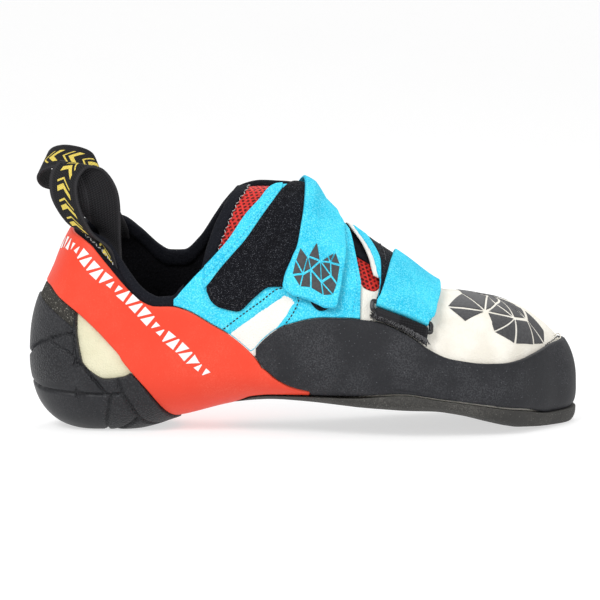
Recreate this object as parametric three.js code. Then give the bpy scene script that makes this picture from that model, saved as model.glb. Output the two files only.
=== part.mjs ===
import * as THREE from "three";

// A right climbing shoe: +X to the toe, +Y to the inner side, +Z up, millimetres.
// Every panel is a band of one foot form, cut between two angles and two offsets.

// Named sizes of the foot form.
const footLength = 243.5;
const ballWidth = 84;
const instepHeight = 110;
const heelReach = 29;
const toeReach = 36.5;
const heelHollow = 4;

// Thicknesses and fits.
const upperWall = 1.8;
const layerGap = 0.3;
const strapGap = 0.5;
const quarterThick = 1.2;
const randThick = 2;
const tensionThick = 1.8;
const cupSideThick = 2.4;
const soleProud = 2;
const insoleThick = 2;
const tongueThick = 1.8;
const tongueGap = 0.7;
const patchThick = 0.8;
const strapThick = 1.3;
const tapeThick = 1.2;
const wireRadius = 0.9;

// Where the shoe's middle sits between heel back and toe tip, and across it.
const middleAt = 0.4975;
const middleAcross = 0;

// Heights and fullness of the sections along the foot, shares of the instep height.
const sections = [
  { at: -0.03, bottom: 0.064, widest: 0.3, top: 0.918, lowFull: 2.4, upFull: 2, tread: 0, treadFull: 2.4 },
  { at: 0.05, bottom: 0.064, widest: 0.3, top: 0.918, lowFull: 2.4, upFull: 2.1, tread: 0, treadFull: 2.4 },
  { at: 0.12, bottom: 0.064, widest: 0.3, top: 0.918, lowFull: 2.4, upFull: 2.5, tread: 0, treadFull: 2.4 },
  { at: 0.205, bottom: 0.066, widest: 0.3, top: 0.94, lowFull: 2.4, upFull: 2.5, tread: 0.02, treadFull: 2.4 },
  { at: 0.27, bottom: 0.086, widest: 0.3, top: 0.97, lowFull: 2.4, upFull: 2.4, tread: 0.05, treadFull: 2.4 },
  { at: 0.35, bottom: 0.132, widest: 0.3, top: 1, lowFull: 2.4, upFull: 2.2, tread: 0.1, treadFull: 2.5 },
  { at: 0.386, bottom: 0.15, widest: 0.29, top: 1.01, lowFull: 2.4, upFull: 2.1, tread: 0.114, treadFull: 2.6 },
  { at: 0.444, bottom: 0.16, widest: 0.28, top: 1.013, lowFull: 2.5, upFull: 1.95, tread: 0.126, treadFull: 2.8 },
  { at: 0.493, bottom: 0.16, widest: 0.27, top: 1, lowFull: 2.6, upFull: 1.85, tread: 0.125, treadFull: 3.2 },
  { at: 0.574, bottom: 0.159, widest: 0.24, top: 0.845, lowFull: 2.8, upFull: 1.8, tread: 0.115, treadFull: 4 },
  { at: 0.676, bottom: 0.148, widest: 0.21, top: 0.686, lowFull: 3.6, upFull: 1.9, tread: 0.098, treadFull: 6 },
  { at: 0.764, bottom: 0.125, widest: 0.18, top: 0.555, lowFull: 4.6, upFull: 2.1, tread: 0.075, treadFull: 7 },
  { at: 0.797, bottom: 0.11, widest: 0.175, top: 0.545, lowFull: 4.8, upFull: 2.2, tread: 0.06, treadFull: 8 },
  { at: 0.85, bottom: 0.092, widest: 0.165, top: 0.52, lowFull: 5, upFull: 2.5, tread: 0.025, treadFull: 8 },
  { at: 0.91, bottom: 0.064, widest: 0.16, top: 0.49, lowFull: 5, upFull: 2.8, tread: -0.008, treadFull: 8 },
  { at: 0.965, bottom: 0.055, widest: 0.16, top: 0.46, lowFull: 5, upFull: 2.9, tread: -0.02, treadFull: 8 },
  { at: 1.02, bottom: 0.055, widest: 0.16, top: 0.45, lowFull: 5, upFull: 2.9, tread: -0.02, treadFull: 8 },
];

// Half widths and middle line of the foot between heel and toe, shares of the ball width.
const plan = [
  { at: 0.205, lateral: 0.318, medial: 0.318, middle: 0 },
  { at: 0.35, lateral: 0.335, medial: 0.305, middle: -0.005 },
  { at: 0.48, lateral: 0.385, medial: 0.32, middle: -0.025 },
  { at: 0.6, lateral: 0.44, medial: 0.385, middle: -0.035 },
  { at: 0.7, lateral: 0.485, medial: 0.445, middle: -0.01 },
  { at: 0.78, lateral: 0.515, medial: 0.43, middle: 0.06 },
];
const toeMiddle = 0.143;

// Reach of the round heel and the round toe by bearing in degrees, shares of the ball width.
const heelRound = [
  { bearing: 0, reach: 0.345 },
  { bearing: 45, reach: 0.33 },
  { bearing: 90, reach: 0.315 },
];
const toeRound = [
  { bearing: -90, reach: 0.524 },
  { bearing: -61, reach: 0.412 },
  { bearing: -30, reach: 0.373 },
  { bearing: -6, reach: 0.412 },
  { bearing: 7, reach: 0.436 },
  { bearing: 23, reach: 0.436 },
  { bearing: 41, reach: 0.402 },
  { bearing: 62, reach: 0.369 },
  { bearing: 90, reach: 0.35 },
];

// Panel edges. turn: share of the half girth from heel back to toe tip;
// angle: degrees up the side, -90 under the foot, 0 at the widest, 90 on the ridge.
const collarLateral = [
  { turn: 0, angle: 60 }, { turn: 0.05, angle: 60.5 }, { turn: 0.1, angle: 58.5 },
  { turn: 0.142, angle: 53 }, { turn: 0.174, angle: 47.5 }, { turn: 0.194, angle: 40 },
  { turn: 0.214, angle: 32 }, { turn: 0.23, angle: 27 }, { turn: 0.246, angle: 24 },
  { turn: 0.262, angle: 22.5 }, { turn: 0.282, angle: 22.5 }, { turn: 0.3, angle: 25 },
  { turn: 0.33, angle: 31.5 }, { turn: 0.392, angle: 47 }, { turn: 0.425, angle: 60 },
  { turn: 0.46, angle: 75 }, { turn: 0.49, angle: 82 }, { turn: 0.54, angle: 83 },
  { turn: 0.558, angle: 80 }, { turn: 0.576, angle: 56 }, { turn: 0.585, angle: 46 },
  { turn: 0.6, angle: 44 }, { turn: 0.612, angle: 47 }, { turn: 0.622, angle: 66 },
  { turn: 0.63, angle: 90 }, { turn: 1, angle: 90 },
];
const collarMedial = [
  { turn: 0, angle: 60 }, { turn: 0.05, angle: 61 }, { turn: 0.1, angle: 61 },
  { turn: 0.165, angle: 59.5 }, { turn: 0.192, angle: 57 }, { turn: 0.222, angle: 48 },
  { turn: 0.254, angle: 38.5 }, { turn: 0.27, angle: 36 }, { turn: 0.294, angle: 35.5 },
  { turn: 0.32, angle: 40.5 }, { turn: 0.346, angle: 51.5 }, { turn: 0.362, angle: 60 },
  { turn: 0.392, angle: 75 }, { turn: 0.425, angle: 82 }, { turn: 0.52, angle: 83 },
  { turn: 0.578, angle: 84 }, { turn: 0.612, angle: 90 }, { turn: 1, angle: 90 },
];
const bottomOpening = [
  { turn: 0, angle: -90 }, { turn: 0.392, angle: -90 }, { turn: 0.425, angle: -74 },
  { turn: 0.52, angle: -64 }, { turn: 0.74, angle: -62 }, { turn: 1, angle: -62 },
];
const tensionTop = [
  { turn: 0, angle: 57 }, { turn: 0.05, angle: 57.5 }, { turn: 0.1, angle: 54 },
  { turn: 0.148, angle: 46 }, { turn: 0.174, angle: 37.5 }, { turn: 0.206, angle: 28 },
  { turn: 0.23, angle: 22.5 }, { turn: 0.254, angle: 20 }, { turn: 0.282, angle: 19.5 },
  { turn: 0.304, angle: 18 }, { turn: 0.348, angle: 12.5 }, { turn: 0.38, angle: 9 },
  { turn: 0.41, angle: 4.5 }, { turn: 0.428, angle: 0 }, { turn: 0.45, angle: -15 },
  { turn: 0.474, angle: -25 }, { turn: 0.49, angle: -28 }, { turn: 0.51, angle: -30 },
];
const tensionLow = [
  { turn: 0, angle: 29 }, { turn: 0.05, angle: 28 }, { turn: 0.094, angle: 23.5 },
  { turn: 0.126, angle: 19 }, { turn: 0.158, angle: 12.5 }, { turn: 0.182, angle: 6.5 },
  { turn: 0.198, angle: 2 }, { turn: 0.216, angle: -9.5 }, { turn: 0.246, angle: -30 },
  { turn: 0.266, angle: -49 }, { turn: 0.282, angle: -68 }, { turn: 0.3, angle: -90 },
  { turn: 1, angle: -90 },
];
const cupCutout = [
  { turn: 0, angle: 90 }, { turn: 0.124, angle: 90 }, { turn: 0.126, angle: 18 },
  { turn: 0.13, angle: 8 }, { turn: 0.137, angle: 0 }, { turn: 0.15, angle: -8.5 },
  { turn: 0.174, angle: -15.5 }, { turn: 0.198, angle: -14 }, { turn: 0.216, angle: -9.5 },
  { turn: 0.218, angle: 90 }, { turn: 1, angle: 90 },
];
const randTop = [
  { turn: 0.4, angle: 4 }, { turn: 0.412, angle: 5 }, { turn: 0.428, angle: 8.5 },
  { turn: 0.45, angle: 12.5 }, { turn: 0.49, angle: 16.5 }, { turn: 0.532, angle: 21.5 },
  { turn: 0.574, angle: 26 }, { turn: 0.622, angle: 29 }, { turn: 0.66, angle: 27.5 },
  { turn: 0.68, angle: 25 }, { turn: 0.74, angle: 21 }, { turn: 0.812, angle: 21.5 },
  { turn: 0.906, angle: 30.5 }, { turn: 0.97, angle: 34.5 }, { turn: 1, angle: 35 },
];
// Height of the line where rand and sole meet, shares of the instep height.
const soleLine = [
  { turn: 0.36, lateral: 0.115, medial: 0.115 }, { turn: 0.39, lateral: 0.14, medial: 0.14 },
  { turn: 0.44, lateral: 0.161, medial: 0.161 }, { turn: 0.49, lateral: 0.165, medial: 0.165 },
  { turn: 0.57, lateral: 0.168, medial: 0.162 }, { turn: 0.65, lateral: 0.186, medial: 0.165 },
  { turn: 0.706, lateral: 0.176, medial: 0.15 }, { turn: 0.77, lateral: 0.157, medial: 0.13 },
  { turn: 0.828, lateral: 0.13, medial: 0.11 }, { turn: 0.918, lateral: 0.09, medial: 0.086 },
  { turn: 1, lateral: 0.074, medial: 0.074 },
];

// Ribs and lines shared by all panels, so that neighbouring faces run side by side.
const ribs = [
  0, 0.032, 0.064, 0.095, 0.126, 0.15, 0.174, 0.198, 0.22, 0.246, 0.27, 0.295, 0.325, 0.36, 0.392,
  0.425, 0.46, 0.49, 0.52, 0.55, 0.576, 0.602, 0.63, 0.66, 0.69, 0.711, 0.73, 0.76, 0.796, 0.83,
  0.865, 0.9, 0.935, 0.968, 1,
];
const lines = [-90, -74, -60, -50, -42, -31, -16, 0, 17, 34, 50, 66, 80, 90];

const heelArc = (Math.PI / 2) * heelReach;
const toeArc = (Math.PI / 2) * toeReach;
const toeStart = footLength - toeReach;
const halfGirth = heelArc + toeStart - heelReach + toeArc;
const heelTurn = heelArc / halfGirth;
const toeTurn = 1 - toeArc / halfGirth;

function clamp(value, low, high) {
  return Math.min(Math.max(value, low), high);
}

// Piecewise cubic through a table; flat keeps it from overshooting at corners.
function read(rows, key, column, x, flat = false) {
  const last = rows.length - 1;
  const u = clamp(x, rows[0][key], rows[last][key]);
  let k = 0;
  while (k < last - 1 && u >= rows[k + 1][key]) {
    k += 1;
  }
  const width = (i) => rows[i + 1][key] - rows[i][key];
  const slope = (i) => (rows[i + 1][column] - rows[i][column]) / width(i);
  const tangent = (i) => {
    if (i === 0 || i === last) {
      return slope(i === 0 ? 0 : last - 1);
    }
    const before = slope(i - 1);
    const after = slope(i);
    if (flat) {
      return before * after <= 0 ? 0 : (2 * before * after) / (before + after);
    }
    return (before * width(i) + after * width(i - 1)) / (width(i - 1) + width(i));
  };
  const h = width(k);
  const s = (u - rows[k][key]) / h;
  const rise = (s * s * (3 - 2 * s)) * (rows[k + 1][column] - rows[k][column]);
  const lean = s * (s - 1) * (s - 1) * tangent(k) + s * s * (s - 1) * tangent(k + 1);
  return rows[k][column] + rise + h * lean;
}

function edge(rows, turn) {
  return read(rows, "turn", "angle", turn, true);
}

function turnAt(x) {
  if (x < heelReach) {
    return (Math.acos(clamp(1 - x / heelReach, -1, 1)) / (Math.PI / 2)) * heelTurn;
  }
  return heelTurn + ((x - heelReach) / (toeStart - heelReach)) * (toeTurn - heelTurn);
}

// One closed run of reaches per side, carried a little past heel back and toe tip.
function reachRows(side) {
  const name = side < 0 ? "lateral" : "medial";
  const heel = heelRound.map((row) => ({ turn: (row.bearing / 90) * heelTurn, reach: row.reach }));
  const body = plan.map((row) => ({ turn: turnAt(row.at * footLength), reach: row[name] }));
  const toe = toeRound.map((row) => {
    const own = row.bearing * side >= 0;
    const share = (Math.abs(row.bearing) / 90) * (1 - toeTurn);
    return { turn: own ? 1 - share : 1 + share, reach: row.reach };
  });
  const past = heel.slice(1).map((row) => ({ turn: -row.turn, reach: row.reach }));
  return [...past, ...heel, ...body, ...toe].sort((a, b) => a.turn - b.turn);
}
const reaches = { "-1": reachRows(-1), "1": reachRows(1) };
const middles = [
  { at: -0.03, middle: 0 },
  { at: 0.1, middle: 0 },
  ...plan,
  { at: toeStart / footLength, middle: toeMiddle },
  { at: 1.02, middle: toeMiddle },
];

const foot = { grow: 0, low: "bottom", lowFull: "lowFull", hollow: heelHollow };
const treadForm = { grow: upperWall + soleProud + layerGap, low: "tread", lowFull: "treadFull", hollow: 0 };

// A point of a form: a ray from the middle line, a rounded section above and below the widest.
function formPoint(form, side, turn, angle) {
  const back = Math.max(1 - turn / heelTurn, 0) * (Math.PI / 2);
  const front = Math.max((turn - toeTurn) / (1 - toeTurn), 0) * (Math.PI / 2);
  const run = clamp((turn - heelTurn) / (toeTurn - heelTurn), 0, 1);
  const cx = heelReach + (toeStart - heelReach) * run;
  const cy = ballWidth * read(middles, "at", "middle", cx / footLength);
  const dx = Math.sin(front) - Math.sin(back);
  const dy = side * Math.cos(back) * Math.cos(front);
  const reach = ballWidth * read(reaches[side], "turn", "reach", turn) + form.grow;
  const at = (cx + dx * reach) / footLength;
  const full = read(sections, "at", angle < 0 ? form.lowFull : "upFull", at);
  const c = Math.abs(Math.cos((angle * Math.PI) / 180));
  const s = Math.sin((angle * Math.PI) / 180);
  const norm = (c ** full + Math.abs(s) ** full) ** (1 / full);
  const x = cx + (dx * reach * c) / norm;
  const widest = instepHeight * read(sections, "at", "widest", x / footLength);
  const end = instepHeight * read(sections, "at", angle < 0 ? form.low : "top", x / footLength);
  const z = widest + (Math.abs(end - widest) * s) / norm;
  const waist = Math.exp(-(((z / instepHeight - 0.66) / 0.16) ** 2)) * Math.min((3 * c) / norm, 1);
  const r = (reach * c) / norm - form.hollow * Math.sin(back) ** 2 * waist;
  return new THREE.Vector3(cx + dx * r, cy + dy * r, z);
}

function formNormal(form, side, turn, angle) {
  if (Math.abs(angle) > 89.9) {
    const x = formPoint(form, side, turn, angle).x;
    const name = angle < 0 ? form.low : "top";
    const step = 0.5;
    const rise = read(sections, "at", name, (x + step) / footLength)
      - read(sections, "at", name, (x - step) / footLength);
    const slope = (instepHeight * rise) / (2 * step);
    const up = Math.sign(angle);
    return new THREE.Vector3(-slope * up, 0, up).normalize();
  }
  const step = 0.0001;
  const lift = 0.05;
  const along = formPoint(form, side, turn + step, angle).sub(formPoint(form, side, turn - step, angle));
  const upward = formPoint(form, side, turn, angle + lift).sub(formPoint(form, side, turn, angle - lift));
  return along.cross(upward).multiplyScalar(-side).normalize();
}

function skin(side, turn, angle, offset, form = foot) {
  return formPoint(form, side, turn, angle).addScaledVector(formNormal(form, side, turn, angle), offset);
}

// The angle at which an offset skin reaches a height, found by halving.
function angleAt(side, turn, height, offset, form = foot) {
  let low = -90;
  let high = 60;
  for (let i = 0; i < 26; i += 1) {
    const middle = (low + high) / 2;
    if (skin(side, turn, middle, offset, form).z < height) {
      low = middle;
    } else {
      high = middle;
    }
  }
  return (low + high) / 2;
}

// Degrees that hold two edges a gap apart, more where the edge runs steeply.
function apart(rows, side, turn, gap) {
  const angle = clamp(edge(rows, turn), -88, 88);
  const perDegree = skin(side, turn, angle + 0.5, 2).distanceTo(skin(side, turn, angle - 0.5, 2));
  const steep = ((edge(rows, turn + 0.004) - edge(rows, turn - 0.004)) * perDegree) / (0.008 * halfGirth);
  return (gap * Math.min(Math.hypot(1, steep), 4)) / perDegree;
}

// Collects triangles over welded points and turns them into one closed mesh.
class Surface {
  constructor() {
    this.points = [];
    this.places = new Map();
    this.faces = [];
  }

  add(point) {
    const key = [point.x, point.y, point.z].map((v) => Math.round(v * 2000)).join(" ");
    if (!this.places.has(key)) {
      this.places.set(key, this.points.length);
      this.points.push(point);
    }
    return this.places.get(key);
  }

  face(a, b, c, flip = false) {
    if (a !== b && b !== c && c !== a) {
      this.faces.push(...(flip ? [a, c, b] : [a, b, c]));
    }
  }

  quad(a, b, c, d, flip = false) {
    this.face(a, b, c, flip);
    this.face(a, c, d, flip);
  }

  mesh(name, color, roughness) {
    const geometry = new THREE.BufferGeometry();
    const place = (p) => [
      p.x - middleAt * footLength, p.y - middleAcross * ballWidth, p.z,
    ];
    geometry.setAttribute("position", new THREE.Float32BufferAttribute(this.points.flatMap(place), 3));
    geometry.setIndex(this.faces);
    const mesh = new THREE.Mesh(geometry, new THREE.MeshStandardMaterial({ color, roughness }));
    mesh.name = name;
    return mesh;
  }
}

// A closed plate between two edges of one or both sides of the form.
function panel({ sides, from, to, lower, upper, outer, inner, moreRibs = [], moreLines = [] }) {
  const surface = new Surface();
  const between = [...ribs, ...moreRibs].filter((t) => t > from + 0.003 && t < to - 0.003);
  const turns = [from, ...between.sort((a, b) => a - b), to];
  const edges = sides.map((side) => turns.map((turn) => [lower(side, turn), upper(side, turn)]));
  const seam = (i, end, pole) => sides.length === 2
    && edges.every((rows) => Math.abs(rows[i][end] - pole) < 0.01 && Math.abs(rows[i + 1][end] - pole) < 0.01);
  sides.forEach((side, k) => {
    const flip = side > 0;
    const columns = turns.map((turn, i) => {
      const [low, high] = edges[k][i];
      const inside = [...lines, ...moreLines].filter((a) => a > low + 1.6 && a < high - 1.6);
      const angles = [low, ...inside.sort((a, b) => a - b), high];
      return angles.map((angle) => ({
        angle,
        out: surface.add(outer(side, turn, angle)),
        in: surface.add(inner(side, turn, angle)),
      }));
    });
    for (let i = 0; i < turns.length - 1; i += 1) {
      strip(surface, columns[i], columns[i + 1], flip);
      const [a, b] = [columns[i], columns[i + 1]];
      if (!seam(i, 0, -90)) {
        surface.quad(b[0].out, a[0].out, a[0].in, b[0].in, flip);
      }
      if (!seam(i, 1, 90)) {
        const [p, q] = [a[a.length - 1], b[b.length - 1]];
        surface.quad(p.out, q.out, q.in, p.in, flip);
      }
    }
    if (from > 0 || sides.length === 1) {
      wall(surface, columns[0], flip);
    }
    if (to < 1 || sides.length === 1) {
      wall(surface, columns[columns.length - 1], !flip);
    }
  });
  return surface;
}

// Joins two columns of points on the outer and the inner face.
function strip(surface, a, b, flip) {
  let i = 0;
  let j = 0;
  while (i < a.length - 1 || j < b.length - 1) {
    const nextA = i < a.length - 1 ? a[i + 1].angle : Infinity;
    const nextB = j < b.length - 1 ? b[j + 1].angle : Infinity;
    if (nextB <= nextA) {
      surface.face(a[i].out, b[j].out, b[j + 1].out, flip);
      surface.face(a[i].in, b[j + 1].in, b[j].in, flip);
      j += 1;
    } else {
      surface.face(a[i].out, b[j].out, a[i + 1].out, flip);
      surface.face(a[i].in, a[i + 1].in, b[j].in, flip);
      i += 1;
    }
  }
}

function wall(surface, column, flip) {
  for (let i = 0; i < column.length - 1; i += 1) {
    const [a, b] = [column[i], column[i + 1]];
    surface.quad(a.out, b.out, b.in, a.in, flip);
  }
}

// A closed plate along a grid of middle points; rows run along it, columns across.
function ribbon(grid, thick) {
  const surface = new Surface();
  const pick = (i, j) => grid[clamp(i, 0, grid.length - 1)][clamp(j, 0, grid[0].length - 1)];
  const faces = grid.map((row, i) => row.map((point, j) => {
    const along = pick(i + 1, j).clone().sub(pick(i - 1, j));
    const across = pick(i, j + 1).clone().sub(pick(i, j - 1));
    const normal = along.cross(across).normalize();
    return {
      out: surface.add(point.clone().addScaledVector(normal, thick / 2)),
      in: surface.add(point.clone().addScaledVector(normal, -thick / 2)),
    };
  }));
  const rows = faces.length - 1;
  const cols = faces[0].length - 1;
  for (let i = 0; i < rows; i += 1) {
    for (let j = 0; j < cols; j += 1) {
      const [a, b, c, d] = [faces[i][j], faces[i + 1][j], faces[i + 1][j + 1], faces[i][j + 1]];
      surface.quad(a.out, b.out, c.out, d.out);
      surface.quad(a.in, d.in, c.in, b.in);
    }
    const [a, b] = [faces[i][0], faces[i + 1][0]];
    surface.quad(b.out, a.out, a.in, b.in);
    const [c, d] = [faces[i][cols], faces[i + 1][cols]];
    surface.quad(c.out, d.out, d.in, c.in);
  }
  for (let j = 0; j < cols; j += 1) {
    const [a, b] = [faces[0][j], faces[0][j + 1]];
    surface.quad(a.out, b.out, b.in, a.in);
    const [c, d] = [faces[rows][j], faces[rows][j + 1]];
    surface.quad(d.out, c.out, c.in, d.in);
  }
  return surface;
}

// Angle carried over the ridge: 0 on the outer side, 90 on the ridge, 180 on the inner side.
function over(turn, angle, offset) {
  return angle <= 90 ? skin(-1, turn, angle, offset) : skin(1, turn, 180 - angle, offset);
}

function steps(from, to, count) {
  return Array.from({ length: count + 1 }, (_, i) => from + ((to - from) * i) / count);
}

const overUpper = upperWall + layerGap;
const overQuarter = overUpper + quarterThick + strapGap;
const overPatch = overQuarter + patchThick + strapGap;

function lineHeight(side, turn) {
  return instepHeight * read(soleLine, "turn", side < 0 ? "lateral" : "medial", turn, true);
}

function collar(side, turn) {
  return edge(side < 0 ? collarLateral : collarMedial, turn);
}

function makeUpper() {
  return panel({
    sides: [-1, 1], from: 0, to: 1,
    lower: (side, turn) => edge(bottomOpening, turn),
    upper: collar,
    outer: (side, turn, angle) => skin(side, turn, angle, upperWall),
    inner: (side, turn, angle) => skin(side, turn, angle, 0),
    moreRibs: [0.408, 0.558, 0.567, 0.612, 0.618, 0.624],
  });
}

function makeInsole() {
  return panel({
    sides: [-1, 1], from: 0, to: 1,
    lower: () => -90,
    upper: () => -52,
    outer: (side, turn, angle) => skin(side, turn, angle, -layerGap),
    inner: (side, turn, angle) => skin(side, turn, angle, -layerGap - insoleThick),
  });
}

// The sole's rounded back end under the arch.
const soleBack = 0.368;
const soleEnd = [
  { turn: 0.36, angle: -90 }, { turn: 0.368, angle: -84 }, { turn: 0.376, angle: -73 },
  { turn: 0.392, angle: -60 }, { turn: 0.42, angle: -42 }, { turn: 0.46, angle: -10 },
  { turn: 1, angle: -10 },
];

function soleTop(side, turn, shift, offset, form) {
  const line = angleAt(side, turn, lineHeight(side, turn) + shift, offset, form);
  const end = edge(soleEnd, turn) + (shift > 0 ? apart(soleEnd, side, turn, 4 * layerGap) : 0);
  return turn < 0.46 ? Math.min(line, end) : line;
}

function makeOutsole() {
  const innerTop = (side, turn) => soleTop(side, turn, -layerGap, overUpper, foot);
  const outerTop = (side, turn) => soleTop(side, turn, -layerGap, 0, treadForm);
  return panel({
    sides: [-1, 1], from: soleBack, to: 1,
    lower: () => -90,
    upper: innerTop,
    outer: (side, turn, angle) => {
      const share = (angle + 90) / (innerTop(side, turn) + 90);
      const point = formPoint(treadForm, side, turn, -90 + share * (outerTop(side, turn) + 90));
      point.z = Math.max(point.z, 0);
      return point;
    },
    inner: (side, turn, angle) => skin(side, turn, angle, overUpper),
    moreRibs: [0.376, 0.384],
  });
}

function tensionBottom(side, turn) {
  if (turn < 0.362) {
    return edge(tensionLow, turn);
  }
  return soleTop(side, turn, layerGap / 2, overUpper + tensionThick, foot);
}

// Extra ribs where the edges of rand, cup and band run steeply.
const bandRibs = [0.233, 0.258, 0.282, 0.368, 0.376, 0.384];
const tailRibs = [0.436, 0.443, 0.474, 0.505, 0.51];

function makeHeelRand() {
  return panel({
    sides: [-1, 1], from: 0, to: 0.505, moreRibs: [...bandRibs, ...tailRibs],
    lower: tensionBottom,
    upper: (side, turn) => edge(tensionTop, turn),
    outer: (side, turn, angle) => skin(side, turn, angle, overUpper + tensionThick),
    inner: (side, turn, angle) => skin(side, turn, angle, overUpper),
  });
}

// Thickness of the cup under the heel, growing from its side to its flat.
const cupUnder = [
  { turn: 0, under: 6.4 }, { turn: 0.2, under: 6.4 }, { turn: 0.25, under: 4.6 },
  { turn: 0.282, under: 2.8 }, { turn: 0.3, under: 2.2 },
];

function makeHeelCup() {
  const outer = (side, turn, angle) => {
    const share = clamp((-angle - 15) / 50, 0, 1);
    const under = read(cupUnder, "turn", "under", turn, true);
    const thick = cupSideThick + (under - cupSideThick) * share * share * (3 - 2 * share);
    const point = skin(side, turn, angle, overUpper + thick);
    point.z = Math.max(point.z, 0);
    return point;
  };
  return panel({
    sides: [-1, 1], from: 0, to: 0.29, moreRibs: [0.13, 0.138, ...bandRibs],
    lower: () => -90,
    upper: (side, turn) => {
      const top = edge(tensionLow, turn) - apart(tensionLow, side, turn, layerGap);
      return Math.max(Math.min(top, edge(cupCutout, turn)), -90);
    },
    outer,
    inner: (side, turn, angle) => skin(side, turn, angle, overUpper),
  });
}

function makeToeRand() {
  return panel({
    sides: [-1, 1], from: 0.418, to: 1, moreRibs: tailRibs,
    lower: (side, turn) => {
      const line = angleAt(side, turn, lineHeight(side, turn) + layerGap / 2, overUpper + randThick);
      const band = edge(tensionTop, turn) + apart(tensionTop, side, turn, layerGap);
      return turn < 0.508 ? Math.max(line, band) : line;
    },
    upper: (side, turn) => edge(randTop, turn),
    outer: (side, turn, angle) => skin(side, turn, angle, overUpper + randThick),
    inner: (side, turn, angle) => skin(side, turn, angle, overUpper),
  });
}

function quarterLow(side, turn) {
  const band = turn < 0.49 ? edge(tensionTop, turn) + apart(tensionTop, side, turn, layerGap) : -90;
  const rand = turn > 0.4 ? edge(randTop, turn) + apart(randTop, side, turn, layerGap) : -90;
  return Math.max(band, rand);
}

function makeQuarter(side, from, to) {
  return panel({
    sides: [side], from, to, moreRibs: [0.233, 0.258, 0.282, 0.408, 0.436, 0.443, 0.474, 0.567],
    lower: quarterLow,
    upper: (s, turn) => Math.max(collar(s, turn) - 0.5, quarterLow(s, turn) + 2),
    outer: (s, turn, angle) => skin(s, turn, angle, overUpper + quarterThick),
    inner: (s, turn, angle) => skin(s, turn, angle, overUpper),
  });
}

const patchLow = [
  { turn: 0.338, angle: 24 }, { turn: 0.346, angle: 20.5 }, { turn: 0.388, angle: 17.5 },
  { turn: 0.416, angle: 23 }, { turn: 0.44, angle: 27 }, { turn: 0.5, angle: 28 },
];
const patchTop = [
  { turn: 0.338, angle: 26.5 }, { turn: 0.36, angle: 31 }, { turn: 0.392, angle: 38.5 },
  { turn: 0.425, angle: 54 }, { turn: 0.458, angle: 72 }, { turn: 0.49, angle: 81 },
  { turn: 0.5, angle: 81 },
];

function makeLoopPatch() {
  return panel({
    sides: [-1], from: 0.338, to: 0.5, moreRibs: [0.376, 0.408, 0.442, 0.475],
    lower: (side, turn) => edge(patchLow, turn),
    upper: (side, turn) => edge(patchTop, turn),
    outer: (side, turn, angle) => skin(side, turn, angle, overQuarter + patchThick),
    inner: (side, turn, angle) => skin(side, turn, angle, overQuarter),
  });
}

// Edges of the bands that cross the ridge, by angle over it.
const tongueEdges = [
  { angle: 22, back: 0.29, front: 0.6 }, { angle: 40, back: 0.312, front: 0.628 },
  { angle: 56, back: 0.35, front: 0.645 }, { angle: 72, back: 0.386, front: 0.65 },
  { angle: 90, back: 0.398, front: 0.652 }, { angle: 108, back: 0.392, front: 0.65 },
  { angle: 120, back: 0.372, front: 0.64 },
];
const flapEdges = [
  { angle: 46, back: 0.604, front: 0.611 }, { angle: 60, back: 0.593, front: 0.604 },
  { angle: 75, back: 0.583, front: 0.596 }, { angle: 90, back: 0.574, front: 0.59 },
  { angle: 104, back: 0.571, front: 0.587 }, { angle: 150, back: 0.57, front: 0.585 },
];
const baseEdges = [
  { angle: 44, back: 0.614, front: 0.614 }, { angle: 60, back: 0.607, front: 0.619 },
  { angle: 75, back: 0.599, front: 0.624 }, { angle: 90, back: 0.593, front: 0.628 },
  { angle: 104, back: 0.59, front: 0.629 }, { angle: 125, back: 0.59, front: 0.63 },
];
const instepEdges = [
  { angle: 24.5, back: 0.478, front: 0.526 }, { angle: 26, back: 0.466, front: 0.54 },
  { angle: 30, back: 0.463, front: 0.547 }, { angle: 34, back: 0.468, front: 0.55 },
  { angle: 40, back: 0.478, front: 0.552 }, { angle: 55, back: 0.487, front: 0.555 },
  { angle: 74, back: 0.489, front: 0.55 }, { angle: 90, back: 0.486, front: 0.54 },
  { angle: 110, back: 0.475, front: 0.535 }, { angle: 152, back: 0.45, front: 0.53 },
];

function band(rows, angles, across, offset, thick) {
  const grid = angles.map((angle) => {
    const back = read(rows, "angle", "back", angle);
    const front = read(rows, "angle", "front", angle);
    return steps(front, back, across).map((turn) => over(turn, angle, offset(angle)));
  });
  return ribbon(grid, thick);
}

function makeTongue() {
  const angles = [22, 32, 42, 52, 62, 72, 80, 85, 90, 95, 100, 108, 114, 120];
  return band(tongueEdges, angles, 6, () => -tongueGap - tongueThick / 2, tongueThick);
}

function makeThroatFlap() {
  const angles = [46, 54, 62, 70, 78, 84, 90, 96, 102, 110, 118, 126, 134, 142, 150];
  return band(flapEdges, angles, 2, () => overUpper + quarterThick / 2, quarterThick);
}

function makeStrapBase() {
  const angles = [50, 58, 66, 74, 82, 90, 98, 106, 115, 125];
  return band(baseEdges, angles, 3, () => overUpper + patchThick / 2 + 0.2, patchThick);
}

const strapLift = [
  { angle: 24, lift: overPatch }, { angle: 90, lift: overPatch },
  { angle: 125, lift: overQuarter + strapGap }, { angle: 180, lift: overQuarter + strapGap },
];

function makeInstepStrap() {
  const angles = [24.5, 26, 30, 34, 41, 49, 58, 67, 75, 83, 90, 97, 105, 115, 127, 139, 152];
  const lift = (angle) => read(strapLift, "angle", "lift", angle, true) + strapThick / 2;
  return band(instepEdges, angles, 4, lift, strapThick);
}

// The ring lies along one angle of the outer side; heights are counted from its middle line.
const ringAngle = 35.3;
const ringBack = 0.601;
const ringFront = 0.691;
const foldRadius = wireRadius + layerGap + strapThick / 2;
const barShift = wireRadius + layerGap + strapThick + layerGap / 2;
const barLift = overUpper + layerGap + strapThick / 2 + foldRadius;

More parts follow.
